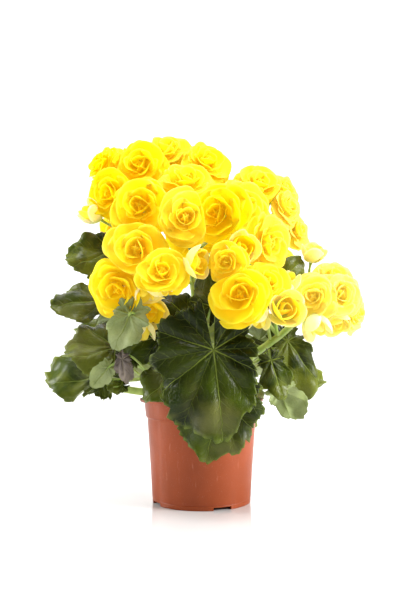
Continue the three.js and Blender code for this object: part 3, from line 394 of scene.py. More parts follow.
def whorl_tree():
    """A whorl: petals round the head's axis, each a rounded sheet that rises, cups, twists and ruffles"""
    web, given, leave = group("Petal whorl", "GeometryNodeTree", {
        "Petals": 5, "Cells": 10, "Ring Radius": 0.003, "Ring Height": 0.0, "Length": 0.02, "Width": 0.03,
        "Root Rise": 0.4, "Tip Rise": 0.1, "Curl": 20.0, "Twist": 0.1, "First Turn": 0.0, "Ruffle": 0.0006,
        "Ruffles": 5.0, "Roll": 0.0005, "Vary": 1.0, "Seed": 0, "Material": MATERIAL}, {"Geometry": GEOMETRY})
    spots = web.node("GeometryNodeMeshLine", {"Count": given["Petals"], "Offset": (0, 0, 0)})
    side = given["Cells"] + 1
    grid = web.node("GeometryNodeMeshGrid", {"Size X": 2.0, "Size Y": 2.0, "Vertices X": side,
                                             "Vertices Y": side})
    placed = web.node("GeometryNodeInstanceOnPoints", {"Points": spots, "Instance": grid})
    numbered = web.stored(placed, "petal", web.node("GeometryNodeInputIndex"), "INT", "INSTANCE")
    loose = web.node("GeometryNodeRealizeInstances", {"Geometry": numbered})
    number = web.named("petal", "INT")
    u, v, _ = web.split(web.node("GeometryNodeInputPosition"))
    x = u * (1.0 - v * v * 0.5) ** 0.5
    y = v * (1.0 - u * u * 0.5) ** 0.5
    rim = (x * x + y * y) ** 0.5
    along = y * 0.5 + 0.5

    def vary(name):
        spread, place = PETAL_SPREAD[name], 1 + list(PETAL_SPREAD).index(name)
        return web.chance(-spread, spread, number, given["Seed"] + place) * given["Vary"]

    across = x * (PETAL.broad - along * PETAL.narrowing)
    length = given["Length"] * (1.0 + vary("length"))
    width = given["Width"] * (1.0 + vary("width"))
    start = given["Root Rise"] + vary("root")
    sweep = given["Tip Rise"] + vary("tip") - start
    sweep = sweep + web.math("COMPARE", sweep, 0.0, LEAST_SWEEP / 2) * LEAST_SWEEP
    rise = start + sweep * along
    reach = given["Ring Radius"] + length * (web.sin(rise) - web.sin(start)) / sweep
    height = given["Ring Height"] + length * (web.cos(start) - web.cos(rise)) / sweep
    curl = given["Curl"] * (1.0 + vary("curl"))
    bent = curl * (across * width * 0.5)
    around = web.math("ARCTAN2", x, y)
    wave = (web.sin(around * given["Ruffles"] + vary("wave"))
            + web.sin(around * 2.0 + vary("slow_wave")) * 0.7)
    lift = (1.0 - web.cos(bent)) / curl + given["Ruffle"] * wave * rim ** 3.0 - given["Roll"] * rim ** 5.0
    twist = given["Twist"] + vary("twist")
    sideways = web.sin(bent) / curl
    flat_side = sideways * web.cos(twist)
    raised = lift + sideways * web.sin(twist)
    radial = reach - raised * web.sin(rise)
    turn = given["First Turn"] + (number + vary("turn")) * (2 * math.pi) / given["Petals"]
    place = web.joined(radial * web.cos(turn) - flat_side * web.sin(turn),
                       radial * web.sin(turn) + flat_side * web.cos(turn),
                       height + raised * web.cos(rise))
    marked = loose
    for name, value in (("along", along), ("rim", rim), ("across", across),
                        ("tint", web.chance(0.0, 1.0, number, given["Seed"] + TINT_SEED))):
        marked = web.stored(marked, name, value)
    shaped = web.node("GeometryNodeSetPosition", {"Geometry": marked, "Position": place})
    return finished(web, leave, shaped, given["Material"])


def stalk_tree():
    """Round stalks along the edges of a path mesh, as thick as its thickness attribute says"""
    web, given, leave = group("Round stalks", "GeometryNodeTree", {
        "Geometry": GEOMETRY, "Sides": 14, "Waver": 0.00012, "Waver Scale": 260.0, "Material": MATERIAL},
        {"Geometry": GEOMETRY})
    paths = web.node("GeometryNodeMeshToCurve", {"Mesh": given["Geometry"]})
    ring = web.node("GeometryNodeCurvePrimitiveCircle", {"Resolution": given["Sides"], "Radius": 1.0})
    swept = web.node("GeometryNodeCurveToMesh", {"Curve": paths, "Profile Curve": ring,
                                                 "Scale": web.named("thickness"), "Fill Caps": True})
    wavy = web.noise(web.node("GeometryNodeInputPosition"), given["Waver Scale"], 2.0) - 0.5
    push = web.node("ShaderNodeVectorMath", {0: web.node("GeometryNodeInputNormal"),
                                             "Scale": wavy * given["Waver"]}, operation="SCALE")
    moved = web.node("GeometryNodeSetPosition", {"Geometry": swept, "Offset": push})
    return finished(web, leave, moved, given["Material"])


def crumb_tree():
    """Crumbs of soil scattered where the top attribute of a surface is 1"""
    web, given, leave = group("Soil crumbs", "GeometryNodeTree", {
        "Geometry": GEOMETRY, "Density": 60000.0, "Smallest": 0.0007, "Largest": 0.0026, "Seed": 3,
        "Material": MATERIAL}, {"Geometry": GEOMETRY})
    spread = web.node("GeometryNodeDistributePointsOnFaces", {
        "Mesh": given["Geometry"], "Density": given["Density"] * web.named("top"), "Seed": given["Seed"]})
    crumb = web.node("GeometryNodeMeshIcoSphere", {"Radius": 1.0, "Subdivisions": 1})
    number = web.node("GeometryNodeInputIndex")
    share = web.chance(0.0, 1.0, number, 5) ** 3.0
    size = given["Smallest"] + share * (given["Largest"] - given["Smallest"])
    stretch = web.joined(size * web.chance(*CRUMB_LENGTH, number, 6), size,
                         size * web.chance(*CRUMB_HEIGHT, number, 7))
    turn = web.joined(0.0, 0.0, web.chance(0.0, 6.28, number, 8))
    strewn = web.node("GeometryNodeInstanceOnPoints", {"Points": spread, "Instance": crumb, "Scale": stretch,
                                                       "Rotation": web.node("FunctionNodeEulerToRotation",
                                                                            {0: turn})})
    both = web.node("GeometryNodeJoinGeometry")
    for geometry in (given["Geometry"], strewn):
        web.feed(both.inputs[0], geometry)
    return finished(web, leave, both, given["Material"])


def grown(tree, jobs):
    """Evaluates a tree for each (mesh, settings) and gives back plain meshes"""
    keys = {item.name: item.identifier for item in tree.interface.items_tree
            if item.item_type == "SOCKET" and item.in_out == "INPUT"}
    seeds = []
    for mesh, settings in jobs:
        seed = bpy.data.objects.new("seed", mesh)
        modifier = seed.modifiers.new("grow", "NODES")
        modifier.node_group = tree
        for label, value in settings.items():
            modifier[keys[label]] = value
        scene.collection.objects.link(seed)
        seeds.append(seed)
    graph = bpy.context.evaluated_depsgraph_get()
    meshes = [bpy.data.meshes.new_from_object(seed.evaluated_get(graph)) for seed in seeds]
    for seed in seeds:
        seed.modifiers.clear()
        bpy.data.objects.remove(seed)
    return meshes


def read(mesh, name):
    values = np.zeros(len(mesh.vertices), np.float32)
    mesh.attributes[name].data.foreach_get("value", values)
    return values


def points_of(mesh):
    values = np.zeros(len(mesh.vertices) * 3, np.float32)
    mesh.vertices.foreach_get("co", values)
    return values.reshape(-1, 3).astype(float)


def quads_of(mesh):
    corners = np.zeros(len(mesh.loops), np.int32)
    mesh.loops.foreach_get("vertex_index", corners)
    return corners.reshape(-1, 4)


def thickened(points, faces, thickness):
    """Both skins of a sheet and its rim. Thickness may differ from point to point."""
    normals = np.zeros_like(points)
    for block in faces:
        corners = points[block]
        across = np.cross(corners[:, 2] - corners[:, 0], corners[:, -1] - corners[:, 1])
        for k in range(block.shape[1]):
            np.add.at(normals, block[:, k], across)
    normals /= np.maximum(np.linalg.norm(normals, axis=1, keepdims=True), 1e-12)
    half = np.reshape(thickness, (-1, 1)) * 0.5 * normals
    count = len(points)
    edges = np.concatenate([np.stack([block[:, k], np.roll(block, -1, axis=1)[:, k]], 1)
                            for block in faces for k in range(block.shape[1])])
    forward = edges[:, 0].astype(np.int64) * count + edges[:, 1]
    backward = edges[:, 1].astype(np.int64) * count + edges[:, 0]
    border = edges[~np.isin(backward, forward)]
    rim = np.stack([border[:, 1], border[:, 0], border[:, 0] + count, border[:, 1] + count], 1)
    skins = list(faces) + [block[:, ::-1] + count for block in faces] + [rim]
    return np.concatenate([points + half, points - half]), skins


def store(mesh, name, values):
    """Gives each point of a mesh its number or its vector"""
    wide = values.ndim > 1
    layer = mesh.attributes.new(name, "FLOAT_VECTOR" if wide else "FLOAT", "POINT")
    layer.data.foreach_set("vector" if wide else "value",
                           np.ascontiguousarray(values, dtype=np.float32).reshape(-1))


def plain_mesh(name, points, faces, values=None):
    """A smooth mesh from points and blocks of faces, with values for its points"""
    mesh = bpy.data.meshes.new(name)
    sizes = np.concatenate([np.full(len(block), block.shape[1]) for block in faces])
    corners = np.concatenate([block.reshape(-1) for block in faces])
    mesh.vertices.add(len(points))
    mesh.vertices.foreach_set("co", np.ascontiguousarray(points, dtype=np.float32).reshape(-1))
    mesh.loops.add(len(corners))
    mesh.loops.foreach_set("vertex_index", corners.astype(np.int32))
    mesh.polygons.add(len(sizes))
    mesh.polygons.foreach_set("loop_start", np.concatenate([[0], np.cumsum(sizes)[:-1]]).astype(np.int32))
    for label, data in (values or {}).items():
        store(mesh, label, data)
    mesh.update(calc_edges=True)
    mesh.validate()
    mesh.shade_smooth()
    return mesh


def piece(name, mesh, material, node):
    """One visible piece, which stands for all or some of a node of the frame"""
    made = bpy.data.objects.new(name, mesh)
    mesh.materials.clear()
    mesh.materials.append(material)
    scene.collection.objects.link(made)
    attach(made, "root")
    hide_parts(node)


def united(parts):
    """One set of points and faces from several, with their values side by side"""
    points, faces, values, start = [], {}, {}, 0
    for part_points, part_faces, part_values in parts:
        points.append(part_points)
        for block in part_faces:
            faces.setdefault(block.shape[1], []).append(block + start)
        for label, data in part_values.items():
            values.setdefault(label, []).append(data)
        start += len(part_points)
    return (np.concatenate(points), [np.concatenate(blocks) for blocks in faces.values()],
            {label: np.concatenate(data) for label, data in values.items()})


# The plant's own geometry repeats the formulas of the CAD source, in millimetres


def unit(vector):
    return vector / np.linalg.norm(vector)


def between(pair, share):
    return pair[0] + (pair[1] - pair[0]) * share


def past(share, start, over):
    """0 up to start, then up to 1 over a stretch"""
    return np.clip((share - start) / over, 0, 1)


def seen(place):
    """The real place of a point given across, up and depth in the plane that the camera sees"""
    across, up, depth = place
    share = (EYE_DISTANCE + depth) / EYE_DISTANCE
    return np.array([across * share, depth, EYE_HEIGHT + (up - EYE_HEIGHT) * share], float)


def facing(yaw, pitch):
    yaw, pitch = math.radians(yaw), math.radians(pitch)
    return np.array([math.sin(yaw) * math.cos(pitch), -math.cos(yaw) * math.cos(pitch), math.sin(pitch)])


def head_frame(head, order):
    """The head's right, up and outward directions, rolled a step further for each head"""
    out = facing(head.yaw, head.pitch)
    helper = np.array([0.0, 1.0, 0.0]) if abs(out[2]) > 0.9 else np.array([0.0, 0.0, 1.0])
    right = unit(np.cross(helper, out))
    roll = math.radians(ROLL_STEP * order)
    right = right * math.cos(roll) + np.cross(out, right) * math.sin(roll)
    return right, np.cross(out, right), out


def head_base(head):
    return seen(head.place) - facing(head.yaw, head.pitch) * SET_BACK[head.form] * head.breadth


def cell_walls(order):
    """Walls between a head and every other head: directions and distances from its centre"""
    head = HEADS[order]
    outs, limits = [], []
    for other in HEADS[:order] + HEADS[order + 1:]:
        towards = seen(other.place) - seen(head.place)
        gap = np.linalg.norm(towards)
        outs.append(towards / gap)
        limit = gap * head.breadth / (head.breadth + other.breadth) - CELL.clearance / 2
        limits.append(limit * (CELL.same_node if other.node == head.node else 1))
    return np.array(outs), np.array(limits)


def pressed(points, centre, walls):
    """Presses points back towards the head's centre as they near the walls of its cell"""
    outs, limits = walls
    away = points - centre
    reach = np.linalg.norm(away, axis=1)
    lean = np.maximum(0, (away / reach[:, None]) @ outs.T) / limits
    share = reach * (lean ** CELL.sharpness).sum(1) ** (1 / CELL.sharpness)
    room = 1 - CELL.free
    kept = CELL.free + room * (1 - np.exp((CELL.free - share) / room))
    factor = np.where(share > CELL.free, kept / np.maximum(share, 1e-9), 1.0)
    return centre + away * factor[:, None]


def smooth_curve(knots, count):
    """A centripetal Catmull-Rom curve through the knots, in points spaced evenly along it"""
    knots = [np.array(knot, float) for knot in knots]
    knots = [2 * knots[0] - knots[1]] + knots + [2 * knots[-1] - knots[-2]]
    points = []
    for a, b, c, d in zip(knots, knots[1:], knots[2:], knots[3:]):
        before, here, after = (max(np.linalg.norm(q - p), 1e-6) ** 0.5 for p, q in ((a, b), (b, c), (c, d)))
        leave = ((b - a) / before - (c - a) / (before + here) + (c - b) / here) * here
        arrive = ((c - b) / here - (d - b) / (here + after) + (d - c) / after) * here
        for t in np.linspace(0, 1, CURVE_STEPS, endpoint=False):
            points.append(b + leave * t + (-3 * b + 3 * c - 2 * leave - arrive) * t ** 2
                          + (2 * b - 2 * c + leave + arrive) * t ** 3)
    points = np.array(points + [knots[-2]])
    along = np.concatenate([[0], np.cumsum(np.linalg.norm(np.diff(points, axis=0), axis=1))])
    spots = np.linspace(0, along[-1], count)
    return np.stack([np.interp(spots, along, points[:, k]) for k in range(3)], 1)


def bezier(knots, count):
    t = np.linspace(0, 1, count)[:, None]
    layer = [np.array(knot, float) for knot in knots]
    while len(layer) > 1:
        layer = [one * (1 - t) + other * t for one, other in zip(layer, layer[1:])]
    return layer[0]


def stem_curve(stem, count):
    x, y = stem.foot
    foot = SOIL.top - SOIL.hole_depth + GAP
    upright = [(x, y, level) for level in (foot, SOIL.top, SOIL.top + STEM_STRAIGHT)]
    return smooth_curve([*upright, *stem.forks], count)


def stem_place(name, share):
    """Where a stem is, where it heads and how thick it is, a share of the way up"""
    stem = STEMS[name]
    joints = stem_curve(stem, STEM_STEPS + 1)
    index = min(int(share * STEM_STEPS), STEM_STEPS - 1)
    one, other = joints[index], joints[index + 1]
    return one + (other - one) * (share * STEM_STEPS - index), unit(other - one), between(stem.radius, share)


def stalk_root(name, end):
    """The place on a stem that a stalk reaches its head from without a steep drop"""
    shares = [STALK_ROOT.lowest + (1 - STALK_ROOT.lowest) * i / (STALK_ROOT.places - 1)
              for i in range(STALK_ROOT.places)]

    def cost(place):
        level = math.hypot(place[0] - end[0], place[1] - end[1])
        return math.hypot(level, place[2] + STALK_ROOT.drop * level - end[2])

    return min((stem_place(name, share)[0] for share in shares), key=cost)


def head_stalk_path(head):
    out = facing(head.yaw, head.pitch)
    end = head_base(head) - out * GAP
    root = stalk_root(head.stem, end)
    span = np.linalg.norm(end - root)
    path = bezier([root, end - out * span * STALK.pull, end], STALK_POINTS)
    path = np.concatenate([path, [end + out * STALK.sunk * head.breadth]])
    share = np.concatenate([np.linspace(0, 1, STALK_POINTS), [1.0]])
    radius = between((STALK.radius, min(STALK.radius, head.breadth * STALK.radius_per_breadth)), share)
    radius = radius * (1 + STALK.flare * past(share, STALK.flare_start, STALK.flare_over) ** 2)
    return path, radius, between((STALK.foot_share, 1), share)


def leaf_frame(leaf):
    """The leaf's hub, its directions along, out of and across the blade, and its length"""
    hub, tip = seen(leaf.hub), seen(leaf.tip)
    length = np.linalg.norm(tip - hub)
    along = (tip - hub) / length
    normal = facing(leaf.yaw, leaf.pitch)
    normal = unit(normal - along * (normal @ along))
    return hub, along, normal, np.cross(along, normal), length


def leaf_stalk_path(leaf):
    hub, along, normal, _, _ = leaf_frame(leaf)
    root, axis, radius = stem_place(leaf.stem, leaf.on)
    away = hub - root
    leave = unit(away - axis * (away @ axis))
    start = root if leaf.name == GROWN_LEAF else root + leave * (radius + GAP)
    end = hub + along * 2 * leaf.stalk
    arrive = unit(normal * LEAF_STALK.rise + along)
    span = np.linalg.norm(end - start)
    path = bezier([start, start + leave * span * LEAF_STALK.pull, end - arrive * span * LEAF_STALK.pull, end],
                  LEAF_STALK_POINTS)
    share = np.linspace(0, 1, LEAF_STALK_POINTS)
    taper = leaf.stalk * (1 + (LEAF_STALK.narrowing - 1) * share)
    taper = taper * (1 - LEAF_STALK.thinning * past(share, LEAF_STALK.thin_start, LEAF_STALK.thin_over) ** 2)
    return path, taper, between((LEAF_STALK.foot_share, 1), share)


def path_mesh(paths):
    """One mesh of polylines, with the thickness of each point and its share of the way"""
    mesh = bpy.data.meshes.new("paths")
    edges, start = [], 0
    for path, _, _ in paths:
        edges += [(start + i, start + i + 1) for i in range(len(path) - 1)]
        start += len(path)
    points, thickness, share = (np.concatenate(rows) for rows in zip(*paths))
    mesh.from_pydata((points * MM).tolist(), edges, [])
    store(mesh, "thickness", thickness * MM)
    store(mesh, "share", share)
    return mesh


def mottle_group():
    """Soft patches and fine grain over a surface: a colour shift and a height"""
    web, given, leave = group("Mottle", "ShaderNodeTree", {
        "Color": (0.5, 0.5, 0.5), "Other": (0.4, 0.4, 0.4), "Patch Scale": 40.0, "Grain Scale": 900.0,
        "Grain": 0.2}, {"Color": COLOR, "Height": FLOAT, "Patch": FLOAT})
    place = web.place()
    patch = web.ramp(web.noise(place, given["Patch Scale"], 4.0), 0.38, 0.62)
    grain = web.noise(place, given["Grain Scale"], 2.0)
    dark = web.ramp(grain, 0.3, 0.6, given["Grain"], 0.0)
    color = web.coated(given["Color"], (patch, given["Other"]), (dark, (0, 0, 0)))
    for label, value in (("Color", color), ("Height", grain), ("Patch", patch)):
        web.feed(leave.inputs[label], value)
    return web.tree


def vein_group():
    """Veins that fan out from the hub of a leaf, every second one strong, with side veins and a fine net"""
    web, given, leave = group("Palmate veins", "ShaderNodeTree", {
        "Flat": VECTOR, "Share": 0.5, "Main Width": 0.0008, "Side Width": 0.0003, "Side Spacing": 0.009},
        {"Main": FLOAT, "Side": FLOAT, "Net": FLOAT, "Height": FLOAT})
    x, y, pitch = web.split(given["Flat"])
    place = web.place()
    sway = (web.noise(place, VEIN.sway_scale, 2.0) - 0.5) * VEIN.sway
    order = web.math("ARCTAN2", x, y) / pitch + sway
    nearest = web.math("ROUND", order)
    near = order - nearest
    odd = web.math("ABSOLUTE", nearest - web.math("ROUND", nearest * 0.5) * 2.0)
    strong = 1.0 - odd * VEIN.weaker
    radius = (x * x + y * y) ** 0.5
    gap = web.math("ABSOLUTE", near) * pitch * radius
    along = radius * web.cos(near * pitch)
    taper = (1.0 - given["Share"] * VEIN.thinning) * (strong * 0.6 + 0.4)
    main_width = given["Main Width"] * taper
    main = web.ramp(gap, main_width * 1.5, main_width * 0.5) * strong
    lean = nearest * VEIN.side_shift + web.math("SIGN", near) * VEIN.side_step
    bend = (web.noise(place, VEIN.bend_scale, 2.0) - 0.5) * VEIN.bend
    step = (along - gap * VEIN.slant) / given["Side Spacing"] + lean + bend
    off = web.math("ABSOLUTE", web.math("FRACT", step) - 0.5) * given["Side Spacing"] * 0.66
    fade = web.ramp(gap, 0.010, 0.001)
    side = web.ramp(off, given["Side Width"] * 1.9, given["Side Width"] * 0.4) * fade
    cells = web.node("ShaderNodeTexVoronoi", {"Vector": place, "Scale": VEIN.net_scale},
                     feature="DISTANCE_TO_EDGE")
    net = web.ramp(cells.outputs["Distance"], 0.12, 0.02)
    height = 0.5 - main * 0.9 - side * 0.45 - net * 0.12
    for label, value in (("Main", main), ("Side", side), ("Net", net), ("Height", height)):
        web.feed(leave.inputs[label], value)
    return web.tree


class Surface(Web):
    """Builds one material on a Principled shader, whose constants are set on the shader itself"""

    def __init__(self, name, **constants):
        self.material = bpy.data.materials.new(name)
        self.material.use_nodes = True
        super().__init__(self.material.node_tree)
        self.shader = self.tree.nodes["Principled BSDF"]
        for label, value in constants.items():
            self.shader.inputs[label.replace("_", " ")].default_value = value

    def attribute(self, name):
        return Term(self, self.node("ShaderNodeAttribute", attribute_name=name).outputs["Fac"])

    def group(self, tree, inputs):
        return self.node("ShaderNodeGroup", inputs, node_tree=tree).outputs

    def set(self, label, value):
        self.feed(self.shader.inputs[label], value)

    def bump(self, height, distance, strength):
        self.set("Normal", self.node("ShaderNodeBump", {"Height": height, "Distance": distance,
                                                        "Strength": strength}))


def petal_material():
    """Cloudy lemon, golden inside the bloom, streaked from root to rim, greenish at the foot of a bud, and
    glowing faintly in its own colour as painted light
    """
    made = Surface("petal_yellow", Subsurface_Weight=0.5, Subsurface_Scale=0.005, Specular_IOR_Level=0.05,
                   Subsurface_Radius=(1.0, 0.85, 0.2), Emission_Strength=0.11)
    along, rim, tone, tint, pale, green, across = (
        made.attribute(name) for name in ("along", "rim", "tone", "tint", "pale", "green", "across"))
    place = made.place()
    cloud = made.noise(place, 70.0)
    streaks = made.noise(made.joined(across * 9.0, along * 1.2, tint * 20.0), 1.6)
    paint = PETAL_COLORS
    color = made.coated(
        paint.lemon,
        (made.ramp(cloud, 0.3, 0.7), paint.deeper),
        (made.ramp(tone + (1.0 - along) * 0.6 + tint * 0.3, 0.5, 1.7), paint.golden),
        (made.ramp(streaks, 0.52, 0.75, 0.0, 0.3), paint.streak),
        (made.ramp(rim, 0.8, 1.0, 0.0, 0.35), paint.rim),
        # Paler heads: painted light on the right, with some at random and the buds paler
        (pale, paint.washed),
        (green * made.ramp(tone, 0.25, 0.0) * 0.8, paint.cream),
        (made.ramp(along, 0.55, 0.0) * green * 0.9, paint.green))
    made.set("Base Color", color)
    # A faint glow in the petals' own colour: painted light that lifts their shade
    made.set("Emission Color", color)
    made.set("Roughness", made.ramp(cloud, 0.3, 0.7, 0.45, 0.62))
    made.bump(streaks * 0.8 + made.noise(place, 1400.0, 2.0) * 0.15, 0.0004, 0.4)
    return made.material


def leaf_material(name, paint):
    """A leaf: upper side in two greens with greyer patches of painted sheen, painted shade towards the hub,
    painted light on leaves far out to the sides, veins, and a dull pale under side
    """
    made = Surface(name, Specular_IOR_Level=0.15)
    flat = made.node("ShaderNodeAttribute", attribute_name="flat").outputs["Vector"]
    share, below, toothed, forward, lit = (
        made.attribute(each) for each in ("share", "under", "tooth", "forward", "lit"))
    veins = made.group(VEINS, {"Flat": flat, "Share": share})
    main, side, net, height = (Term(made, veins[label]) for label in ("Main", "Side", "Net", "Height"))
    top = made.group(MOTTLE, {"Color": paint.upper, "Other": paint.other, "Patch Scale": 24.0, "Grain": 0.25})
    low = made.group(MOTTLE, {"Color": paint.under, "Other": paint.under_other, "Patch Scale": 50.0,
                              "Grain": 0.1})
    place = made.place()
    # Greyer patches laid on the upper side are a painted sheen
    sheen_patches = made.ramp(made.noise(place, 17.0), 0.52, 0.70, 0.0, 0.75)
    broad = made.ramp(made.noise(place, 30.0), 0.42, 0.58, 0.04, 1.0)
    upper = made.coated(
        top["Color"],
        (sheen_patches, paint.worn),
        # Painted shade: darker from the tip back towards the hub and the back lobes
        (made.ramp(forward, -0.5, 0.6, 0.88, 0.0), paint.deep),
        # Painted light: leaves far out to the sides are lighter, most towards the tip, in broad patches
        (lit * broad * made.ramp(forward, -0.5, 0.6, 0.25, 0.8), paint.light),
        (net * 0.18, paint.other),
        (side * 0.2, paint.vein),
        (main * 0.75, paint.vein),
        (made.ramp(share, 0.93, 1.0) * toothed * 0.55, paint.vein))
    under = made.blend(main * 0.5 + side * 0.3, low["Color"], paint.vein)
    made.set("Base Color", made.blend(below, upper, under))
    made.set("Roughness", sheen_patches * 0.16 + paint.roughness + below * 0.22 + main * 0.05)
    made.bump(height * (1.0 - below * 1.6), 0.0009, 0.8)
    return made.material


def stem_material():
    made = Surface("stem_green", Subsurface_Weight=0.12, Subsurface_Scale=0.003,
                   Subsurface_Radius=(0.6, 1.0, 0.2))
    mottle = made.group(MOTTLE, {"Color": STEM_COLORS.green, "Other": STEM_COLORS.pale, "Patch Scale": 90.0,
                                 "Grain": 0.12})
    rosy = made.ramp(made.attribute("share"), 0.3, 0.0, 0.0, 0.5)
    made.set("Base Color", made.blend(rosy, mottle["Color"], STEM_COLORS.rosy))
    made.set("Roughness", Term(made, mottle["Patch"]) * 0.12 + 0.36)
    made.bump(mottle["Height"], 0.0002, 0.5)
    return made.material


def pot_material():
    """Fired clay, scuffed and dusted, and dark on top of the lip"""
    made = Surface("pot_terracotta", Specular_IOR_Level=0.22)
    place = made.place()
    mottle = made.group(MOTTLE, {"Color": POT_COLORS.clay, "Other": POT_COLORS.other, "Patch Scale": 22.0,
                                 "Grain Scale": 2400.0, "Grain": 0.10})
    stretched = made.node("ShaderNodeMapping", {"Vector": place, "Scale": (1.0, 1.0, 0.12)})
    scuff = made.noise(stretched, 260.0, 4.0, 0.7)
    specks = made.noise(place, 1500.0, 1.0)
    x, y, height = made.split(place)
    radius = (x * x + y * y) ** 0.5 + made.noise(place, 90.0) * LIP_TOP.waver
    inside = made.ramp(radius, LIP_TOP.outer, LIP_TOP.inner)
    above = made.ramp(height, LIP_TOP.low, LIP_TOP.high)
    made.set("Base Color", made.coated(
        mottle["Color"],
        (made.ramp(scuff, 0.60, 0.72, 0.0, 0.5), POT_COLORS.scuff),
        (made.ramp(specks, 0.70, 0.76, 0.0, 0.35), POT_COLORS.dust),
        (inside * above * LIP_TOP.share, POT_COLORS.lip_top)))
    made.set("Roughness", made.ramp(scuff, 0.4, 0.75, 0.36, 0.52))
    made.bump(Term(made, mottle["Height"]) * 0.6 + scuff * 0.4, 0.00012, 0.6)
    return made.material


def soil_material():
    made = Surface("soil_dark", Roughness=0.95, Specular_IOR_Level=0.2)
    mottle = made.group(MOTTLE, {"Color": SOIL_COLORS.dark, "Other": SOIL_COLORS.brown, "Patch Scale": 160.0,
                                 "Grain Scale": 1200.0, "Grain": 0.4})
    made.set("Base Color", mottle["Color"])
    made.bump(mottle["Height"], 0.0012, 1.0)
    return made.material


def floor_material():
    made = Surface("floor_white", Roughness=0.05, Specular_IOR_Level=0.6)
    cloud = made.ramp(made.noise(made.place(), 3.0), 0.3, 0.7)
    made.set("Base Color", made.blend(cloud, FLOOR_COLORS.white, FLOOR_COLORS.other))
    return made.material


def whorl_settings(whorl, breadth, seed, petal_yellow):
    size = breadth * MM
    settings = {"Petals": whorl.petals, "Cells": whorl.cells, "Curl": whorl.curl / size, "Seed": seed,
                "Ruffles": PETAL.ruffles, "Vary": PETAL.vary, "Material": petal_yellow}
    for label, share in (("Ring Radius", whorl.ring), ("Ring Height", whorl.height), ("Length", whorl.length),
                         ("Width", whorl.width), ("Ruffle", whorl.ruffle), ("Roll", whorl.roll)):
        settings[label] = share * size
    for label, angle in (("Root Rise", whorl.root), ("Tip Rise", whorl.tip), ("Twist", whorl.twist),
                         ("First Turn", whorl.turn)):
        settings[label] = math.radians(angle)
    return settings


def head_paleness(head, order):
    """Painted light: blooms on the right stand in the brightest light and are painted paler, washed out; some
    heads at random and the buds are paler too
    """
    right = min(max((head.place[0] - PALENESS.start) / PALENESS.over, 0), 1)
    chance = (order * PALENESS.chance_step) % 1
    return PALENESS.right * right + PALENESS.chance * chance + (PALENESS.bud if head.form == "bud" else 0)


def build_heads():
    petal_yellow = petal_material()
    bed = bpy.data.meshes.new("bed")
    jobs, owners = [], []
    for order, head in enumerate(HEADS):
        for tier, whorl in enumerate(WHORLS[head.form]):
            seed = SEEDS_PER_HEAD * order + SEEDS_PER_WHORL * tier
            jobs.append((bed, whorl_settings(whorl, head.breadth, seed, petal_yellow)))
            owners.append((order, whorl))
    parts = {}
    for (order, whorl), mesh in zip(owners, grown(whorl_tree(), jobs)):
        head = HEADS[order]
        right, up, out = head_frame(head, order)
        local = points_of(mesh) / MM
        placed = head_base(head) + local[:, :1] * right + local[:, 1:2] * up + local[:, 2:] * out
        placed = pressed(placed, seen(head.place), cell_walls(order))
        thickness = PETAL.thickness * (1 - PETAL.rim_thinning * read(mesh, "rim") ** 4)
        points, faces = thickened(placed, [quads_of(mesh)], thickness)
        values = {name: np.tile(read(mesh, name), 2) for name in ("along", "rim", "across", "tint")}
        for name, value in (("tone", whorl.tone), ("pale", head_paleness(head, order)),
                            ("green", GREENNESS.get(head.form, 0.0))):
            values[name] = np.full(len(points), value)
        parts.setdefault(head.node, []).append((points * MM, faces, values))
        bpy.data.meshes.remove(mesh)
    for node, blocks in parts.items():
        piece(node + "_petals", plain_mesh(node + "_petals", *united(blocks)), petal_yellow, node)


def margin_reach(leaf, angle):
    """Distance from the hub to the smooth margin, in shares of the leaf's length"""
    body = leaf.wide * (MARGIN.body + MARGIN.towards_tip * np.cos(angle))
    tip = (MARGIN.tip - MARGIN.tip_per_width * leaf.wide) * np.maximum(np.cos(angle), 0) ** MARGIN.tip_power
    lobes = MARGIN.lobe * np.cos(np.degrees(angle) * math.pi / MARGIN.lobe_pitch)
    return (body + tip + lobes) * (1 + leaf.lean * np.sin(angle))


def toothed_margin(leaf, angle, withered):
    """The margin with lobes and serrations, how near each column is to a main vein, and the teeth's saw"""
    step = np.arange(len(angle)) / LEAF_COLUMNS
    near = np.abs(step - np.round(step))
    small = (step * SERRATION.per_tooth) % 1
    saw = np.minimum(small / SERRATION.long_side, (1 - small) / SERRATION.short_side)
    # Sines of a tooth's number stand in for chance
    chance = 0.5 + 0.5 * np.sin(np.floor(step * SERRATION.per_tooth) * 2.4 + leaf.wide * 40)
    lobed = MARGIN.tooth_mean + MARGIN.tooth_vary * np.sin(np.floor(step + 0.5) * 1.7 + leaf.lean * 30)
    margin = margin_reach(leaf, angle) - lobed * MARGIN.tooth * np.sin(math.pi * near) ** 2
    depth = SERRATION.depth * (1 + WITHERED.deeper * withered)
    margin = margin - depth * (1 - saw) * (SERRATION.mean + SERRATION.vary * chance) + SERRATION.outwards
    return margin * (1 - WITHERED.shrunk * withered * np.sin(2.5 * angle + 0.8) ** 2), near, saw


def blade_height(leaf, x, y, share, angle, off_vein, withered):
    """How far each point stands out of the leaf's plane"""
    ripple = leaf.wave * np.sin(5 * angle + 3 * leaf.wide) * share ** 2
    flutter = 0.5 * leaf.wave * np.sin(13 * angle + 5 * leaf.wide) * share ** 4
    bend = -leaf.bend * (x * x + y * y)
    quilt = QUILT * (1 - np.exp(-(off_vein / QUILT_WIDTH) ** 2)) * (1 - share ** 4)
    swell = np.sin(7 * x + 5 * y + 11 * leaf.wide) * np.sin(6 * y - 4 * x + 23 * leaf.lean)
    crumple = WITHERED.crumple * withered * np.sin(19 * x + 8 * y) * np.sin(15 * y - 6 * x) * share
    return ripple + flutter + bend + quilt + SWELL * swell * share + crumple


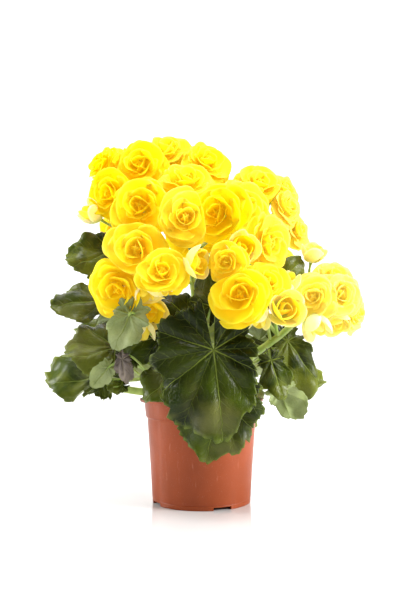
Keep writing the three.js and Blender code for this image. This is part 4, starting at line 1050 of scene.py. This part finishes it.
def build_blade(leaf):
    """Blade of a leaf: columns fan out from the hub, rings follow the toothed margin"""
    hub, along, normal, side, length = leaf_frame(leaf)
    withered = float("dry" in leaf.name)
    count = leaf.teeth * LEAF_COLUMNS
    sweep = 2 * (math.pi - math.radians(MARGIN.sinus))
    pitch = sweep / leaf.teeth
    column_angle = np.linspace(-sweep / 2, sweep / 2, count + 1)
    margin, near, saw = toothed_margin(leaf, column_angle, withered)
    rings = np.linspace(0, 1, LEAF_RINGS + 1)[1:] ** RING_CROWDING
    share = np.repeat(rings, count + 1)
    angle = np.tile(column_angle, LEAF_RINGS)
    blend = share ** 5
    reach = share * (margin_reach(leaf, angle) * (1 - blend) + np.tile(margin, LEAF_RINGS) * blend)
    x, y = reach * np.sin(angle), reach * np.cos(angle)
    x, y, share, angle, saw, near = (np.concatenate([[0], values]) for values in (
        x, y, share, angle, np.tile(saw, LEAF_RINGS), np.tile(near, LEAF_RINGS)))
    off_vein = near * 2 * math.pi / leaf.teeth * np.hypot(x, y)
    raised = blade_height(leaf, x, y, share, angle, off_vein, withered)
    points = hub + (x[:, None] * side + y[:, None] * along + raised[:, None] * normal) * length
    inner = np.arange(count)
    blocks = [np.stack([np.zeros(count, int), 2 + inner, 1 + inner], 1)]
    for ring in range(LEAF_RINGS - 1):
        low = 1 + ring * (count + 1) + inner
        high = low + count + 1
        blocks.append(np.stack([low, low + 1, high + 1, high], 1))
    rib = LEAF_BLADE.rib * np.exp(-(off_vein / LEAF_BLADE.rib_width) ** 2) * (1 - share)
    thickness = LEAF_BLADE.thickness * (1 + rib) * (1 - LEAF_BLADE.rim_thinning * share ** 8)
    skins, faces = thickened(points, blocks, thickness)
    turned = angle + (0.0 if leaf.teeth % 2 == 0 else 0.5 * pitch)
    flat_reach = np.hypot(x, y) * length * MM
    flat = np.stack([flat_reach * np.sin(turned), flat_reach * np.cos(turned), np.full(len(x), pitch)], 1)
    first_skin_up = np.cross(points[2] - points[0], points[1] - points[0]) @ normal > 0
    below = [0.0, 1.0] if first_skin_up else [1.0, 0.0]
    values = {"forward": np.tile(y, 2), "flat": np.tile(flat, (2, 1)), "share": np.tile(share, 2),
              "tooth": np.tile(saw, 2), "under": np.repeat(below, len(x)),
              "lit": np.full(2 * len(x), min(abs(leaf.hub[0]) / LIT_FROM_AXIS, 1))}
    return plain_mesh(leaf.name + "_blade", skins * MM, faces, values)


def stalks_of(tree, jobs, skin, material):
    """Smooth meshes of round stalks, one for each list of paths"""
    meshes = grown(tree, [(path_mesh(paths), {**skin, "Material": material}) for paths in jobs])
    for mesh in meshes:
        mesh.shade_smooth()
    return meshes


def build_stems(tree, stem_green, leaf_green):
    """Each stem with its heads' stalks, and the leaf that is in one solid with its stem"""
    jobs = []
    for name, stem in STEMS.items():
        share = np.linspace(0, 1, STEM_POINTS)
        joints = 1 + STEM_JOINTS.swelling * np.exp(
            -((share * STEM_JOINTS.count) % 1 - 0.5) ** 2 / STEM_JOINTS.spread)
        end = 1 - STEM_END.thinning * past(share, STEM_END.start, STEM_END.over)
        paths = [(stem_curve(stem, STEM_POINTS), between(stem.radius, share) * joints * end, share)]
        paths += [head_stalk_path(head) for head in HEADS if head.stem == name]
        paths += [leaf_stalk_path(leaf) for leaf in LEAVES if leaf.name == GROWN_LEAF and leaf.stem == name]
        jobs.append(paths)
    for name, mesh in zip(STEMS, stalks_of(tree, jobs, STEM_SKIN, stem_green)):
        piece(f"stem_{name}_flesh", mesh, stem_green, "stem_" + name)
    for leaf in LEAVES:
        if leaf.name == GROWN_LEAF:
            piece(leaf.name + "_blade", build_blade(leaf), leaf_green, "stem_" + leaf.stem)


def build_leaves(tree, stem_green, leaf_green):
    leaf_dry = leaf_material("leaf_withered", DRY_LEAF)
    plain = [leaf for leaf in LEAVES if leaf.name != GROWN_LEAF]
    stalks = stalks_of(tree, [[leaf_stalk_path(leaf)] for leaf in plain], LEAF_STALK_SKIN, stem_green)
    for leaf, stalk in zip(plain, stalks):
        dry = "dry" in leaf.name
        piece(leaf.name + "_blade", build_blade(leaf), leaf_dry if dry else leaf_green, leaf.name)
        piece(leaf.name + "_stalk", stalk, stem_green, leaf.name)


def rounded(profile, radius, steps=4):
    """Rounds the corners of an open profile of (radius, height) points"""
    profile = [np.array(each, float) for each in profile]
    points = [profile[0]]
    for before, corner, after in zip(profile, profile[1:], profile[2:]):
        reach = min(radius, 0.45 * np.linalg.norm(corner - before), 0.45 * np.linalg.norm(after - corner))
        one, other = corner + unit(before - corner) * reach, corner + unit(after - corner) * reach
        points += list(bezier([one, corner, other], steps))
    return np.array(points + [profile[-1]])


def turned_mesh(name, profile, segments):
    """A closed turned mesh from a profile that starts and ends on the axis"""
    angle = np.arange(segments) * 2 * math.pi / segments
    body = profile[1:-1]
    rings = np.stack([body[:, :1] * np.cos(angle), body[:, :1] * np.sin(angle),
                      np.repeat(body[:, 1:], segments, 1)], 2).reshape(-1, 3)
    points = np.concatenate([rings, [[0, 0, profile[0][1]], [0, 0, profile[-1][1]]]])
    index = np.arange(segments)
    after = (index + 1) % segments
    blocks = []
    for low in range(0, (len(body) - 1) * segments, segments):
        high = low + segments
        blocks.append(np.stack([low + index, low + after, high + after, high + index], 1))
    final = len(rings) - segments
    blocks.append(np.stack([np.full(segments, len(rings)), after, index], 1))
    blocks.append(np.stack([np.full(segments, len(rings) + 1), final + index, final + after], 1))
    return plain_mesh(name, points * MM, blocks)


def pot_profile():
    """Half of the pot's section: under the floor, foot ring, wall, band and lip, then back inside"""
    foot, top, lip = POT.foot_radius, POT.height, POT.lip_radius
    inside_foot = foot - POT.foot_ring
    floor_top = POT.floor + POT.floor_thickness
    band_foot = POT.band_height - POT.wall_step
    return [(0, POT.floor), (inside_foot, POT.floor), (inside_foot, 0), (foot, 0),
            (foot + 0.1, 3.9), (foot - 0.25, 4.3), (foot + 0.3, 4.8), (POT.wall_top, band_foot),
            (POT.band_foot, POT.band_height), (POT.band_top, top - POT.lip_thickness),
            (lip - 0.4, top - POT.lip_thickness), (lip, top), (lip - 1.6, top),
            (POT.band_top - POT.wall, top - 0.5), (POT.wall_top - POT.wall, band_foot),
            (foot - POT.wall, floor_top), (0, floor_top)]


def build_pot():
    mesh = turned_mesh("pot_shell", rounded(pot_profile(), POT.corner), POT_SEGMENTS)
    shell = bpy.data.objects.new("pot_shell", mesh)
    scene.collection.objects.link(shell)
    cutters = []
    for cut, ring, level, size in (
            (NOTCH, POT.foot_radius - POT.foot_ring / 2, 0,
             (3 * POT.foot_ring, NOTCH.width, 2 * NOTCH.height)),
            (DRAIN, DRAIN.ring, POT.floor,
             (2 * DRAIN.radius, 2 * DRAIN.radius, 4 * POT.floor_thickness))):
        for i in range(cut.count):
            turn = math.radians(cut.first + 360 / cut.count * i)
            if cut is NOTCH:
                bpy.ops.mesh.primitive_cube_add(size=1)
            else:
                bpy.ops.mesh.primitive_cylinder_add(vertices=DRAIN.sides, radius=0.5, depth=1)
            made = bpy.context.object
            made.scale = [value * MM for value in size]
            made.rotation_euler = (0, 0, turn)
            made.location = [value * MM for value in (ring * math.cos(turn), ring * math.sin(turn), level)]
            cutters.append(made)
    for each in cutters:
        modifier = shell.modifiers.new("cut", "BOOLEAN")
        modifier.operation, modifier.solver, modifier.object = "DIFFERENCE", "EXACT", each
    graph = bpy.context.evaluated_depsgraph_get()
    pierced = bpy.data.meshes.new_from_object(shell.evaluated_get(graph))
    for each in (*cutters, shell):
        bpy.data.objects.remove(each)
    pierced.shade_smooth()
    pierced.set_sharp_from_angle(angle=math.radians(POT_SHARP))
    piece("pot_shell", pierced, pot_material(), "pot")


def build_soil():
    """Soil inside the pot: a low crown with an uneven top, strewn with crumbs"""
    edge = SOIL.top - SOIL.crown
    rim = edge - POT.wall_step
    inset = POT.wall + GAP
    slope = (POT.wall_top - POT.foot_radius) / (POT.band_height - POT.wall_step)
    radius = POT.foot_radius + slope * rim - inset
    profile = [(0, POT.floor + POT.floor_thickness + GAP),
               (POT.foot_radius - inset, POT.floor + POT.floor_thickness + GAP), (radius, rim)]
    for share in np.linspace(0.03, 0.97, SOIL.rings):
        rise = (1 - (1 - share) ** 2) ** SOIL.crown_power
        profile.append((radius * (1 - share), rim + (SOIL.crown + POT.wall_step) * rise))
    profile.append((0, SOIL.top))
    mesh = turned_mesh("soil_body", np.array(profile), SOIL.segments)
    points = points_of(mesh)
    x, y, height = points.T
    waves = np.random.default_rng(SOIL_WAVES.seed).uniform(
        SOIL_WAVES.slowest, SOIL_WAVES.fastest, (SOIL_WAVES.count, 4))
    rough = sum(np.sin(x * a + b) * np.sin(y * c + d) for a, b, c, d in waves)
    top = height > (edge - 0.5) * MM
    points[:, 2] += np.where(top, rough * SOIL_WAVES.height - SOIL_WAVES.sunk, 0)
    mesh.vertices.foreach_set("co", points.astype(np.float32).reshape(-1))
    mesh.update()
    store(mesh, "top", top & (np.hypot(x, y) < SOIL.crumbs_within * MM))
    soil_dark = soil_material()
    crumbs = grown(crumb_tree(), [(mesh, {**CRUMBS, "Material": soil_dark})])[0]
    crumbs.shade_smooth()
    piece("soil_crumbs", crumbs, soil_dark, "soil")


def build_stage():
    """A pale floor that sweeps up behind the object into a wall, under a white sky"""
    profile = [(ROOM.front, 0.0)]
    profile += [(ROOM.sweep_foot + ROOM.sweep_radius * math.sin(a), ROOM.sweep_radius * (1 - math.cos(a)))
                for a in np.linspace(0, math.pi / 2, 25)]
    profile.append((ROOM.sweep_foot + ROOM.sweep_radius, ROOM.height))
    points = [(x, y, z) for y, z in profile for x in (-ROOM.half, ROOM.half)]
    faces = [(2 * i, 2 * i + 1, 2 * i + 3, 2 * i + 2) for i in range(len(profile) - 1)]
    mesh = bpy.data.meshes.new("floor")
    mesh.from_pydata(points, [], faces)
    mesh.shade_smooth()
    mesh.materials.append(floor_material())
    floor = bpy.data.objects.new("floor", mesh)
    scene.collection.objects.link(floor)
    scene.world = bpy.data.worlds.new("studio")
    scene.world.use_nodes = True
    sky = Web(scene.world.node_tree)
    background = sky.tree.nodes["Background"]
    background.inputs["Color"].default_value = (1.0, 1.0, 1.0, 1)
    direct = sky.node("ShaderNodeLightPath").outputs["Is Camera Ray"]
    sky.feed(background.inputs["Strength"],
             sky.math("MULTIPLY_ADD", direct, SEEN_SKY - LIGHTING_SKY, LIGHTING_SKY))


def add_light(name, place, target, size, power):
    data = bpy.data.lights.new(name, "AREA")
    data.shape, data.size, data.energy = "DISK", size, power
    made = bpy.data.objects.new(name, data)
    made.visible_camera = False
    scene.collection.objects.link(made)
    made.location = place
    made.rotation_euler = (Vector(target) - Vector(place)).to_track_quat("-Z", "Y").to_euler()


def add_camera():
    data = bpy.data.cameras.new("camera")
    data.sensor_width = SENSOR
    data.lens = LENS_PIXELS / PICTURE[1] * SENSOR
    data.shift_x = (PICTURE[0] / 2 - POT_AXIS_COLUMN) / PICTURE[1]
    data.shift_y = (HORIZON_ROW - PICTURE[1] / 2) / PICTURE[1]
    made = bpy.data.objects.new("camera", data)
    scene.collection.objects.link(made)
    made.location = (0, -EYE_DISTANCE * MM, EYE_HEIGHT * MM)
    made.rotation_euler = (math.radians(90), 0, 0)
    scene.camera = made


MOTTLE = mottle_group()
VEINS = vein_group()
STEM_GREEN = stem_material()
LEAF_GREEN = leaf_material("leaf_green", GREEN_LEAF)
STALKS = stalk_tree()

build_pot()
build_soil()
build_stems(STALKS, STEM_GREEN, LEAF_GREEN)
build_leaves(STALKS, STEM_GREEN, LEAF_GREEN)
build_heads()
build_stage()
for light in LIGHTS:
    add_light(*light)
add_camera()
scene.view_settings.view_transform = "Standard"
